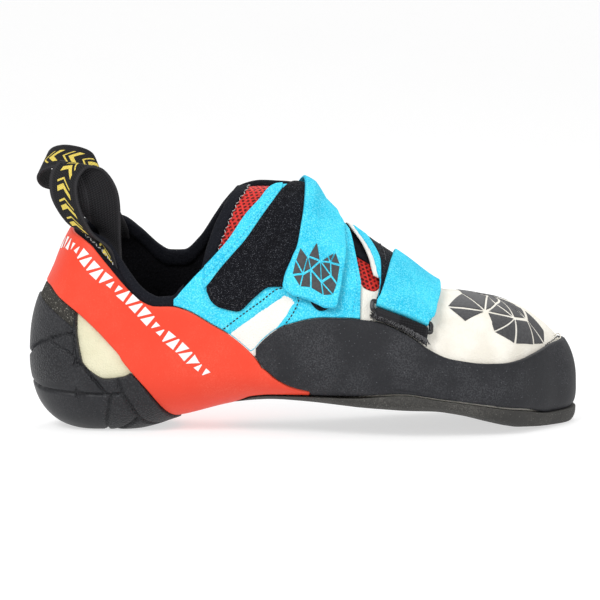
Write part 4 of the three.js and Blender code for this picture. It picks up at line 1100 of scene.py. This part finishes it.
# Raised blue strip along the collar, and the loop field in front of it
stripPart = {
    "low": [
        (0.3, 18), (0.33, 24), (0.342, 26.5), (0.356, 30.5), (0.378, 36.5), (0.4, 43),
        (0.418, 50.5), (0.438, 60.5), (0.452, 69), (0.46, 76),
    ],
    "patchLow": [
        (0.338, 24), (0.346, 20.5), (0.36, 18.4), (0.388, 17.5), (0.416, 22.5), (0.44, 26.6),
        (0.5, 28),
    ],
    "patchTop": [
        (0.338, 25.8), (0.342, 26.7), (0.356, 30.7), (0.378, 36.7), (0.4, 43.2), (0.418, 50.8),
        (0.438, 61), (0.458, 73), (0.475, 82), (0.49, 84), (0.5, 84),
    ],
}
panel("collar_strip", "outer", 0.334, 0.459, lambda s, t: edge(stripPart["low"], t),
      lambda s, t: np.maximum(collar(s, t) - 0.3, edge(stripPart["low"], t) + 1),
      overUpper + layers["quarter"], 0.75, finishes["turquoise"], "suede", step=1.0, count=24,
      roundTo=0.6, detail=softLeather)
panel("loop_field", "outer", 0.338, 0.5, lambda s, t: edge(stripPart["patchLow"], t),
      lambda s, t: edge(stripPart["patchTop"], t), overQuarter, 0.85, finishes["pile"],
      "loop_field", step=0.8, count=60, roundTo=0.7, lip=0.2,
      detail=lambda p, s, t, a, r: 0.1 * ripple(p, 1.1, 2.0) + 0.06 * ripple(p, 2.6, 1.0),
      stands=("loop_patch",))
print("side panels made")

# Tongue of red mesh with a padded black rim, and the throat's edge in front
bands = {
    # angle over the ridge, back turn, front turn
    "tongue": [
        (22, 0.315, 0.6), (40, 0.338, 0.628), (56, 0.357, 0.645), (72, 0.375, 0.65),
        (90, 0.384, 0.652), (108, 0.381, 0.65), (120, 0.365, 0.64),
    ],
    "rim": [
        (24, 0.314, 0.343), (34, 0.329, 0.352), (40, 0.335, 0.358), (47, 0.343, 0.367),
        (56, 0.354, 0.378), (66, 0.366, 0.389), (76, 0.374, 0.4), (90, 0.38, 0.405),
        (104, 0.377, 0.402), (120, 0.36, 0.388),
    ],
    "flap": [
        (54, 0.6105, 0.6145), (58, 0.607, 0.6145), (63, 0.604, 0.614), (69, 0.598, 0.6125),
        (75, 0.5905, 0.607), (80, 0.5815, 0.601), (85, 0.5735, 0.595), (92, 0.567, 0.589),
        (104, 0.563, 0.585), (150, 0.563, 0.582),
    ],
    "base": [
        (38.5, 0.6065, 0.612), (45, 0.611, 0.618), (52, 0.6135, 0.623), (61, 0.6145, 0.628),
        (70, 0.612, 0.632), (79, 0.603, 0.635), (89, 0.592, 0.637), (104, 0.588, 0.637),
        (125, 0.588, 0.637),
    ],
    "instep": [
        (24.5, 0.478, 0.526), (26, 0.466, 0.54), (30, 0.463, 0.547), (34, 0.468, 0.55),
        (40, 0.478, 0.552), (55, 0.487, 0.555), (74, 0.489, 0.55), (90, 0.486, 0.54),
        (110, 0.475, 0.535), (152, 0.45, 0.53),
    ],
}


def shifted(rows, back, front):
    return [(angle, first + back, last + front) for angle, first, last in rows]


bandPlate("tongue_mesh", bands["tongue"], -2.5, 1.7, finishes["redMesh"], "mesh", stands=("tongue",),
          detail=lambda p, s, t, a, r: 0.1 * ripple(p, 12))
bandPlate("tongue_rim", bands["rim"], -2.9, 3.0, finishes["knit"], "mesh", roundTo=1.6, lip=0.1,
          across=16, detail=lambda p, s, t, a, r: 0.12 * ripple(p, 7, 3.0))
bandPlate("throat_shade", [(64, 0.548, 0.603), (76, 0.546, 0.6), (90, 0.54, 0.59), (112, 0.54, 0.588)],
          -0.7, 0.9, finishes["knit"], "mesh")
bandPlate("throat_edge", shifted(bands["flap"], -0.0075, -0.0025), 1.85, 0.8,
          finishes["white"], "upper", across=10, detail=lambda p, s, t, a, r: 0.3 * ripple(p, 2.4))
bandPlate("throat_strip", bands["flap"], overUpper, layers["quarter"], finishes["turquoise"],
          "suede", across=10, stands=("throat_flap",))
bandPlate("strap_bed", bands["base"], overUpper, 0.8, finishes["pile"], "loop_field", across=18,
          detail=lambda p, s, t, a, r: 0.12 * ripple(p, 1.3), stands=("strap_base",))
bandPlate("strap_bed_edge", [(40, 0.6085, 0.611), (50, 0.6128, 0.6145), (54, 0.6125, 0.615)],
          overUpper, 1.0, finishes["turquoise"], "suede", step=0.8, across=5)

# Instep strap with its printed tab
overPatch = overQuarter + 0.8 + layers["strapGap"]
strapPart = {
    "thick": 1.3,
    "lift": [(24, overPatch), (90, overPatch), (125, overQuarter + 0.5), (180, overQuarter + 0.5)],
    "sink": 2.8,  # how far its front drops ahead of the loop field
    "ridgeSink": 1.1,
}


def strapLift(turn, angle):
    # in front of the loop field the strap sinks to the side panels, and on the ridge to the tongue
    lift = through(strapPart["lift"], angle, flat=True)
    ridge = np.clip((angle - 77) / 6, 0, 1) * np.clip((105 - angle) / 6, 0, 1)
    bed = overUpper + layers["quarter"] + layers["gap"] - strapPart["ridgeSink"] * ridge
    ahead = np.clip((turn - 0.5) / 0.022, 0, 1) * np.clip((angle - 56) / 14, 0, 1)
    return np.maximum(lift - strapPart["sink"] * ahead, np.minimum(lift, bed))


bandPlate("instep_strap_suede", bands["instep"], strapLift, strapPart["thick"],
          finishes["turquoise"], "suede", step=0.8, across=40, roundTo=0.6,
          detail=lambda p, s, t, a, r: 0.1 * ripple(p, 14, 7.0), stands=("instep_strap",))

# Ring, webbing that holds it, and the forefoot strap folded round its bar
ringPart = {"angle": 35.3, "back": 0.601, "front": 0.6905, "wire": 0.9}
foldRadius = ringPart["wire"] + layers["gap"] + strapPart["thick"] / 2
barShift = ringPart["wire"] + layers["gap"] + strapPart["thick"] + layers["gap"] / 2
barLift = overUpper + layers["gap"] + strapPart["thick"] / 2 + foldRadius


def climbAngle(turn, climb):
    reach = np.linalg.norm(
        skin(-1, turn, ringPart["angle"] + 1, barLift) - skin(-1, turn, ringPart["angle"] - 1, barLift),
        axis=-1,
    )
    return ringPart["angle"] + 2 * climb / reach


def besideRing(turn, climb, offset):
    return skin(-1, turn, climbAngle(turn, climb), offset)


def foldRows(turn, sign, first=90, last=270, count=13):
    # half turn round the bar
    a = np.radians(np.linspace(first, last, count))[:, None]
    turn = np.broadcast_to(turn, (count, len(turn)))
    climb = sign * (barShift + foldRadius * np.cos(a)) + 0 * turn
    return besideRing(turn, climb, barLift + foldRadius * np.sin(a) + 0 * turn)


def makeForefootStrap():
    share = crowded(1, 1 / 30, rim=(0, 0.008, 0.02, 0.04))
    backRows = [(35, 0.607), (52, 0.6195), (70, 0.6275), (90, 0.633), (150, 0.63)]
    frontRows = [
        (35, 0.6845), (39.5, 0.6905), (52.5, 0.6995), (70.5, 0.7075), (90, 0.709), (150, 0.698),
    ]

    def turns(angle):
        back, front = edge(backRows, angle), edge(frontRows, angle)
        return front + (back - front) * share

    upper = overUpper + 2 * layers["gap"] + 1.5 * strapPart["thick"]
    lower = overUpper + layers["gap"] + strapPart["thick"] / 2
    angles = np.concatenate([np.linspace(142, 56, 60), np.linspace(54.5, 42, 12)])
    settle = np.clip((angles - 42) / 14, 0, 1)
    settle = settle * settle * (3 - 2 * settle)
    lifts = barLift + foldRadius + (upper - barLift - foldRadius) * settle
    full = np.ones(len(share))
    outer = np.stack([overRidge(turns(a), full * a, lift) for a, lift in zip(angles, lifts)])
    inner = np.stack([overRidge(turns(a), full * a, lower) for a in angles[::-1]])
    grid = np.concatenate([outer, foldRows(turns(ringPart["angle"]), 1), inner])
    return ribbonPiece("forefoot_strap_suede", grid, strapPart["thick"], finishes["turquoise"],
                       ("forefoot_strap",), 0.6,
                       values={"rim": np.full((2, *grid.shape[:2]), 3.0)})


makeForefootStrap()


def makeAnchor():
    # both layers run down to the rand's top edge, where the cut end shows
    turn = np.linspace(0.684, 0.607, 29)
    top = edge(randTop, turn) + 1.2 * apart(randTop, -1, turn, layers["gap"])
    lower = overUpper + layers["gap"] + strapPart["thick"] / 2
    bar = climbAngle(turn, -barShift)
    outer = []
    for share in np.linspace(0, 0.85, 8):
        lift = lower + 1.1 + (barLift + foldRadius - lower - 1.1) * share
        outer.append(skin(-1, turn, top + (bar - top) * share, lift))
    inner = skin(-1, turn, top + (bar - top) * 0.2, lower)
    grid = np.concatenate([np.stack(outer), foldRows(turn, -1), inner[None]])[::-1]
    return ribbonPiece("anchor_webbing", grid, strapPart["thick"], finishes["webbing"],
                       ("strap_anchor",))


makeAnchor()


def makeRing():
    # a rounded rectangle of wire: two bars along the strap's width, joined by short ends
    a = np.linspace(0, 2 * np.pi, 121)[:-1]
    middle = (ringPart["back"] + ringPart["front"]) / 2
    half = (ringPart["front"] - ringPart["back"]) / 2
    power = 0.32
    turn = middle + half * np.sign(np.cos(a)) * np.abs(np.cos(a)) ** power
    climb = barShift * np.sign(np.sin(a)) * np.abs(np.sin(a)) ** power
    return tubePiece("ring_wire", besideRing(turn, climb, barLift), ringPart["wire"] + 0.15,
                     finishes["ring"], 16, ("strap_ring",))


makeRing()
print("straps made")

# Pull loops: each row is a spot for both edges of the tape, on the skin (turn, angle, lift) or free
# (ahead of the heel's middle, out, up in shares of length, width and height)
over, under = overUpper + 1.5, -1.2
tapes = {
    outerSide: [
        [("skin", 0.196, 34, over), ("skin", 0.15, 47.5, over)],
        [("skin", 0.184, 42, over), ("skin", 0.142, 53, over)],
        [("free", -0.009, -0.31, 0.83), ("free", -0.056, -0.225, 0.865)],
        [("free", -0.032, -0.315, 0.94), ("free", -0.086, -0.215, 0.965)],
        [("free", -0.036, -0.31, 1.035), ("free", -0.089, -0.205, 1.06)],
        [("free", -0.018, -0.3, 1.095), ("free", -0.075, -0.205, 1.115)],
        [("free", 0.01, -0.29, 1.09), ("free", -0.065, -0.225, 1.11)],
        [("free", 0.031, -0.28, 1.035), ("free", -0.053, -0.235, 1.045)],
        [("free", 0.041, -0.255, 0.95), ("free", -0.048, -0.226, 0.945)],
        [("skin", 0.198, 45, under - 0.8), ("skin", 0.151, 58, under - 1.2)],
        [("skin", 0.202, 35, under), ("skin", 0.162, 45, under)],
        [("skin", 0.206, 27, under), ("skin", 0.166, 36, under)],
    ],
    innerSide: [
        [("skin", 0.196, 48, over + 0.2), ("skin", 0.15, 50, over + 0.2)],
        [("skin", 0.19, 57, over + 0.5), ("skin", 0.142, 59, over + 0.5)],
        [("free", -0.019, 0.285, 0.92), ("free", -0.034, 0.385, 0.965)],
        [("free", -0.074, 0.27, 0.965), ("free", -0.074, 0.405, 1.01)],
        [("free", -0.117, 0.235, 0.99), ("free", -0.108, 0.36, 1.065)],
        [("free", -0.124, 0.175, 1.04), ("free", -0.104, 0.29, 1.14)],
        [("free", -0.095, 0.135, 1.075), ("free", -0.074, 0.25, 1.165)],
        [("free", -0.05, 0.115, 1.06), ("free", -0.03, 0.225, 1.145)],
        [("free", -0.014, 0.12, 1.01), ("free", -0.014, 0.21, 1.1)],
        [("free", 0.021, 0.135, 0.93), ("free", -0.001, 0.17, 0.99)],
        [("skin", 0.2, 54, under - 1), ("skin", 0.158, 57, under - 1.6)],
        [("skin", 0.204, 45, under), ("skin", 0.162, 47, under)],
    ],
}


tapeThick = 1.2


def makeLoop(name, side, node):
    rows = tapes[side]
    edges = []
    for k in (0, 1):
        spots = []
        for kind, a, b, c in (row[k] for row in rows):
            if kind == "skin":
                spots.append(skin(side, a, b, c))
            else:
                spots.append(np.array([
                    foot["heelReach"] + foot["length"] * a, foot["ballWidth"] * b, foot["instep"] * c
                ]))
        table = np.column_stack([np.arange(len(rows)), np.array(spots)])
        s = np.linspace(0, len(rows) - 1, 110)
        edges.append(np.stack([through(table, s, axis + 1) for axis in range(3)], -1))
    share = crowded(1, 1 / 14, rim=(0, 0.01, 0.03, 0.07))[None, :, None]
    grid = edges[0][:, None] * (1 - share) + edges[1][:, None] * share
    if side > 0:
        grid = grid[::-1]
    face = np.full((2, *grid.shape[:2]), 0.0)
    face[0 if side < 0 else 1] = 1
    return ribbonPiece(name, grid, tapeThick, finishes["loops"], (node,), 0.4,
                       values={"face": face})


makeLoop("outer_pull_loop", outerSide, "pull_loop_lateral")
makeLoop("inner_pull_loop", innerSide, "pull_loop_medial")
print("pull loops made")

# Printed shards: corner spots by turn and angle over the ridge, and the corners of each shard
toePrint = {
    "spots": [
        (0.722, 59), (0.75, 79), (0.742, 101), (0.75, 46), (0.786, 56), (0.795, 84), (0.78, 119),
        (0.796, 40), (0.815, 66), (0.83, 97), (0.816, 129), (0.829, 32.5), (0.85, 51),
        (0.872, 76), (0.87, 113), (0.882, 32), (0.905, 51), (0.92, 83), (0.912, 119),
        (0.926, 32.5), (0.958, 43), (0.97, 64), (0.966, 97),
    ],
    "shards": [
        (0, 3, 4, 1), (1, 4, 5, 2), (2, 5, 6, 6), (4, 7, 12, 8), (4, 8, 5, 5), (5, 8, 13, 9),
        (5, 9, 10, 6), (7, 11, 12, 12), (11, 15, 16, 12), (12, 16, 13, 8), (9, 13, 17, 14),
        (9, 14, 10, 10), (14, 17, 18, 18), (15, 19, 16, 16), (16, 19, 20, 21), (16, 21, 17, 13),
        (17, 21, 22, 22),
    ],
    "gap": 0.75,
}
tabPrint = {
    "spots": [
        (0.476, 31.5), (0.4805, 37.5), (0.4885, 27.8), (0.4925, 33), (0.487, 43.5), (0.4985, 40.5),
        (0.505, 29), (0.5035, 36), (0.5095, 49), (0.5165, 41.5), (0.52, 33.5), (0.5245, 28.6),
        (0.5265, 46), (0.5335, 38.5), (0.5395, 31), (0.5445, 36.5), (0.5465, 46), (0.537, 50.5),
        (0.531, 44),
    ],
    "shards": [
        (0, 2, 3, 1), (1, 3, 5, 4), (2, 6, 7, 3), (3, 7, 5, 5), (5, 9, 8, 8), (6, 11, 10, 7),
        (7, 10, 9, 5), (10, 13, 9, 9), (10, 14, 15, 13), (9, 13, 18, 12), (11, 14, 10, 10),
        (13, 15, 16, 18), (18, 16, 17, 12),
    ],
    "gap": 0.45,
}


def shrunk(part):
    # each shard drawn in from its neighbours by the gap, every third one cut along a diagonal
    shards = []
    spots = np.array(part["spots"])
    for k, corners in enumerate(part["shards"]):
        four = spots[list(corners)]
        pieces = [four] if k % 3 else [four[[0, 1, 2, 2]], four[[0, 2, 3, 3]]]
        for piece in pieces:
            place = overRidge(piece[:, 0], piece[:, 1], 2.0)
            middle = place.mean(0)
            size = np.linalg.norm(place - middle, axis=-1).mean()
            centre = piece.mean(0)
            shards.append((outerSide, centre + (piece - centre) * (1 - part["gap"] * 1.5 / size)))
    return shards


shardPiece("toe_print", shrunk(toePrint), layers["wall"] + 0.02, finishes["print"], over=True)

# The strap's end: a raised tab with its print, and the hook field that shows below it
bandPlate("strap_tab", [
    (24.9, 0.482, 0.524), (25.6, 0.474, 0.534), (27.5, 0.468, 0.5445), (31, 0.4655, 0.5475),
    (36, 0.472, 0.55), (42, 0.481, 0.5515), (45, 0.488, 0.551)], overPatch + 1.15, 0.55,
    finishes["turquoise"], "suede", step=0.8, across=40, roundTo=0.5)
shardPiece("tab_print", shrunk(tabPrint), overPatch + 1.72, finishes["print"], over=True)
panel("hook_field", "outer", 0.503, 0.5405,
      lambda s, t: through([(0.5, 26), (0.508, 23.6), (0.53, 24.6), (0.536, 26.5), (0.541, 30)], t),
      lambda s, t: t * 0 + 33, overUpper + layers["quarter"] + 0.1, 0.9, finishes["pile"],
      "loop_field", step=0.6, count=20)

# White triangles along the middle of the red band, up and down in turn, now and then a small pair
bandMarks = {
    "line": [
        (0.03, 47.5), (0.07, 48.5), (0.114, 45.5), (0.166, 32.5), (0.214, 23), (0.262, 11.5),
        (0.312, 1), (0.352, -21),
    ],
    "step": 3.9, "wide": 4.4, "high": 5.4,
}


def makeBandMarks():
    shards = []
    for side in (outerSide, innerSide):
        turn, angle = betweenSpots(bandMarks["line"], 400)
        run = alongLengths(skin(side, turn, angle, overUpper + layers["band"]), 0)
        spots = np.arange(3, run[-1] - 3, bandMarks["step"])
        for k, at in enumerate(spots):
            t, a = np.interp(at, run, turn), np.interp(at, run, angle)
            dt = np.interp(at + 1, run, turn) - t
            da = np.interp(at + 1, run, angle) - a
            scale = perDegree(np.array([side]), np.array([t]), np.array([a]))[0]
            ahead = np.array([dt * halfGirth, da * scale])
            ahead = ahead / np.linalg.norm(ahead)
            across = np.array([-ahead[1], ahead[0]]) + 0.25 * ahead
            half = bandMarks["high"] / 2 * (1, 1, 1, 0.62, 0.62, 1, 1)[k % 7] * (1 - 2 * (k % 2))
            wide = bandMarks["wide"] / 2 * (1, 1, 1, 0.62, 0.62, 1, 1)[k % 7]
            corners = []
            for u, v in ((-wide, -half), (wide, -half), (0.14 * wide, half), (-0.14 * wide, half)):
                place = u * ahead + v * across
                corners.append((t + place[0] / halfGirth, a + place[1] / scale))
            shards.append((side, corners))
    shardPiece("band_marks", shards, overUpper + layers["band"] + 0.09, finishes["whitePrint"],
               cells=5, thick=0.1)


makeBandMarks()


# Stitching
def sideRun(side, spots, offset, count=140):
    # points on one side and their normals
    turn, angle = betweenSpots(spots, count)
    return skin(side, turn, angle, offset), formNormal(side, turn, angle)


def ridgeRun(spots, offset, count=160):
    # the same over the ridge
    turn, angle = betweenSpots(spots, count, False)
    path = overRidge(turn, angle, offset)
    return path, overRidge(turn, angle, offset + 1) - path


overSuede = overUpper + layers["quarter"]
windowLine = [
    (0.364, 11), (0.39, 15.6), (0.428, 21.8), (0.452, 26.2), (0.466, 27), (0.478, 26), (0.486, 23.5),
    (0.479, 19.4), (0.464, 14.3), (0.449, 9.8), (0.436, 6.2),
]
stitchPiece("window_stitches", [sideRun(outerSide, windowLine, overSuede)], finishes["blackThread"],
            length=1.35, gap=0.5, radius=0.3, lift=0.08)
rimLine = [
    (0.351, 33), (0.357, 40), (0.366, 47), (0.377, 56), (0.388, 66), (0.399, 76), (0.404, 90),
    (0.401, 104),
]
stitchPiece("rim_stitches", [ridgeRun(rimLine, -0.15)], finishes["paleThread"],
            length=2.1, gap=0.1, radius=0.2, zig=0.75, lift=0.1)
collarLine = [
    (0.0, 58.8), (0.05, 59.3), (0.1, 56.6), (0.142, 50.2), (0.174, 42.5), (0.2, 34),
    (0.225, 26.5), (0.25, 22.4),
]
stitchPiece("collar_stitches", [
    sideRun(outerSide, collarLine, 2.35), sideRun(innerSide, collarLine, 2.35)],
    finishes["paleThread"], length=1.5, gap=0.9, radius=0.17, zig=0.45, lift=0.05)
stitchPiece("loop_stitches", [
    sideRun(outerSide, [(0.135, 51.5), (0.155, 46.5), (0.175, 40.5), (0.19, 35.5)], 3.75, 60),
    sideRun(innerSide, [(0.14, 53.5), (0.165, 51.5), (0.19, 51)], 4.2, 60)],
    finishes["paleThread"], length=1.7, gap=0.2, radius=0.19, zig=0.7, lift=0.08)
frontEdge = [
    (0.5475, 79), (0.558, 70), (0.5655, 59), (0.5755, 47), (0.5765, 40), (0.573, 33), (0.57, 27.5),
]
stripLine = [
    (0.33, 27.5), (0.348, 31.4), (0.374, 38.6), (0.4, 46.6), (0.418, 54), (0.438, 64.5), (0.45, 72),
]
innerEdge = [(0.225, 34), (0.3, 30), (0.36, 51), (0.42, 69), (0.5, 72), (0.55, 72)]
stitchPiece("suede_stitches", [
    sideRun(outerSide, frontEdge, overSuede),
    sideRun(innerSide, innerEdge, overSuede),
    sideRun(outerSide, stripLine, overSuede + 0.72)],
    finishes["blueThread"], length=1.3, gap=0.8, radius=0.16, lift=0.05)
patchLine = [
    (0.343, 25.8), (0.347, 22.8), (0.36, 20.6), (0.388, 19.6), (0.414, 24.4), (0.438, 28.6),
    (0.46, 29.6), (0.472, 35), (0.482, 42),
]
stitchPiece("patch_stitches", [sideRun(outerSide, patchLine, overQuarter + 0.85)],
            finishes["blackThread"], length=1.5, gap=0.7, radius=0.2, lift=0.1)
toeSeam = [(0.925, 32), (0.94, 33.5), (0.962, 35.5), (0.985, 37), (1.0, 37.5)]
stitchPiece("toe_seam", [sideRun(outerSide, toeSeam, 1.95), sideRun(innerSide, toeSeam, 1.95)],
            finishes["blackThread"], length=1.8, gap=0.35, radius=0.22, zig=0.2)


def makeKnot():
    # the seam's tied end at the toe's tip
    t = np.linspace(0, 2 * np.pi, 90)
    centre = skin(-1, 0.993, 37.5, 2.6)
    loop = np.stack([1.9 * np.sin(t), 1.3 * np.sin(2 * t) + 0.4 * np.cos(t), 1.5 * np.cos(t)], -1)
    tubePiece("toe_knot", centre + loop * 0.8, 0.28, finishes["cream"], 8)


makeKnot()


def makeFibres(name, roots, ups, asides, count, reach, radius, material, seed):
    # loose threads: thin closed spindles from root spots, leaning at random
    draw = np.random.default_rng(seed)
    pick = draw.integers(0, len(roots), count)
    lean = asides[pick] * draw.uniform(-1, 1, (count, 1))
    lean = lean + np.roll(asides[pick], 1, axis=1) * draw.uniform(-0.3, 0.3, (count, 1))
    way = unit(ups[pick] + lean)
    long = reach * draw.uniform(0.35, 1, count)
    side = unit(np.cross(way, asides[pick] + 0.01))
    other = np.cross(way, side)
    u, a = np.linspace(0, 1, 6), np.linspace(0, 2 * np.pi, 6)
    thin = radius * np.sqrt(np.clip(1 - (2 * u - 1) ** 4, 0, 1))
    curl = (draw.uniform(-1, 1, (count, 1, 1, 1)) * 0.35) * (u**2)[None, :, None, None]
    shell = (
        roots[pick][:, None, None]
        + way[:, None, None] * (u[None, :] * long[:, None])[..., None, None]
        + side[:, None, None] * curl * long[:, None, None, None]
        + side[:, None, None] * (thin[:, None] * np.cos(a))[None, ..., None]
        + other[:, None, None] * (thin[:, None] * np.sin(a))[None, ..., None]
    )
    one = gridFaces(6, 6, flip=True)
    faces = (one[None] + np.arange(count)[:, None, None] * 36).reshape(-1, 4)
    return makePiece(name, shell, faces, material)


def frayAnchor():
    turn = np.linspace(0.606, 0.685, 120)
    top = edge(randTop, turn)
    roots = skin(-1, turn, top + 3.4, 5.9)
    ups = unit(skin(-1, turn, top - 0.6, 5.1) - roots)
    asides = unit(np.gradient(roots, axis=0))
    makeFibres("anchor_fray", roots, ups, asides, 420, 3.6, 0.13, finishes["fray"], 3)
    roots = skin(-1, turn, top + 3.0, 5.3)
    makeFibres("anchor_fray_dark", roots, ups, asides, 460, 3.6, 0.16, finishes["blackThread"],
               5)
    ends = skin(-1, np.full(8, 0.6055), edge(randTop, 0.606) + np.linspace(0.6, 3.4, 8), 3.4)
    out = unit(skin(-1, np.full(8, 0.601), edge(randTop, 0.606) + np.linspace(0.6, 3.4, 8), 3.7) - ends)
    makeFibres("anchor_fray_end", ends, out, np.tile([[0.1, 0.2, 1.0]], (8, 1)), 40, 2.6, 0.14,
               finishes["blackThread"], 7)


frayAnchor()


def fringe(name, rows, low, high, offset, count, reach, seed):
    # short hooks and loops standing up along a velcro edge
    angle = np.linspace(low, high, 60)
    turn = through(rows, angle, 1)
    roots = overRidge(turn, angle, offset)
    ups = unit(overRidge(turn - 0.004, angle, offset + 0.8) - roots)
    makeFibres(name, roots, ups, unit(np.gradient(roots, axis=0)), count, reach, 0.07,
               finishes["fray"], seed)


bedMiddle = [(a, (b + f) / 2) for a, b, f in bands["base"]]
fringe("bed_fringe", bedMiddle, 70, 100, overUpper + 0.7, 160, 1.0, 11)
print("prints, stitches and fibres made")

# Floor, backdrop, light and camera
studio = {
    "target": Vector((-0.0009, 0.0, 0.058)), "distance": 1.3, "elevation": 6.5, "lens": 169.3,
    "sensor": 36.0, "farthest": 20,
}


def makeStage():
    # one sheet: flat floor, then a wide bend up to a wall behind
    t = np.linspace(0, 1, 60)
    flat, radius = 1.6, 0.9
    y = np.where(t < 0.5, -2.6 + (flat + 2.6) * t / 0.5, flat + radius * np.sin((t - 0.5) * np.pi))
    z = np.where(t < 0.5, 0, radius * (1 - np.cos((t - 0.5) * np.pi)))
    y, z = np.append(y, y[-1]), np.append(z, 3.0)
    x = np.linspace(-3, 3, 9)
    grid = np.stack(np.broadcast_arrays(x[:, None], y[None], z[None]), -1)
    mesh = bpy.data.meshes.new("studio_floor")
    faces = gridFaces(len(x), len(y))
    mesh.from_pydata(grid.reshape(-1, 3).tolist(), [], faces.tolist())
    mesh.polygons.foreach_set("use_smooth", np.ones(len(mesh.polygons), bool))
    paint = Paint("studio_paper")
    paper = paint.noise(6, 3)
    mesh.materials.append(paint.finish(
        paint.mix((0.46, 0.46, 0.46), (0.48, 0.48, 0.48), paper), 0.9, specular_ior_level=0.05,
        emission_color=(1, 1, 1, 1), emission_strength=0.6,
    ))
    floor = bpy.data.objects.new("studio_floor", mesh)
    bpy.context.scene.collection.objects.link(floor)


def addLight(name, place, aim, size, power):
    light = bpy.data.lights.new(name, "AREA")
    light.shape, light.size, light.energy = "DISK", size, power
    lamp = bpy.data.objects.new(name, light)
    lamp.location = place
    lamp.rotation_euler = (Vector(aim) - Vector(place)).to_track_quat("-Z", "Y").to_euler()
    bpy.context.scene.collection.objects.link(lamp)


makeStage()
addLight("key_light", (-0.7, -1.0, 1.2), (0, 0, 0.04), 0.7, 15)
addLight("fill_light", (0.9, -0.8, 0.7), (0, 0, 0.05), 0.9, 4)
addLight("back_light", (0.2, 0.9, 1.1), (0, 0, 0.05), 0.8, 6)
world = bpy.data.worlds.new("studio_air")
world.use_nodes = True
world.node_tree.nodes["Background"].inputs["Color"].default_value = (1, 1, 1, 1)
world.node_tree.nodes["Background"].inputs["Strength"].default_value = 0.6
bpy.context.scene.world = world
bpy.context.scene.view_settings.view_transform = "Standard"

camera = bpy.data.objects.new("photo_camera", bpy.data.cameras.new("photo_camera"))
camera.data.sensor_width, camera.data.lens = studio["sensor"], studio["lens"]
camera.data.clip_end = studio["farthest"]
tilt = np.radians(studio["elevation"])
camera.location = studio["target"] + Vector((0, -np.cos(tilt), np.sin(tilt))) * studio["distance"]
camera.rotation_euler = (np.pi / 2 - tilt, 0, 0)
bpy.context.scene.collection.objects.link(camera)
bpy.context.scene.camera = camera
print("stage, light and camera made")
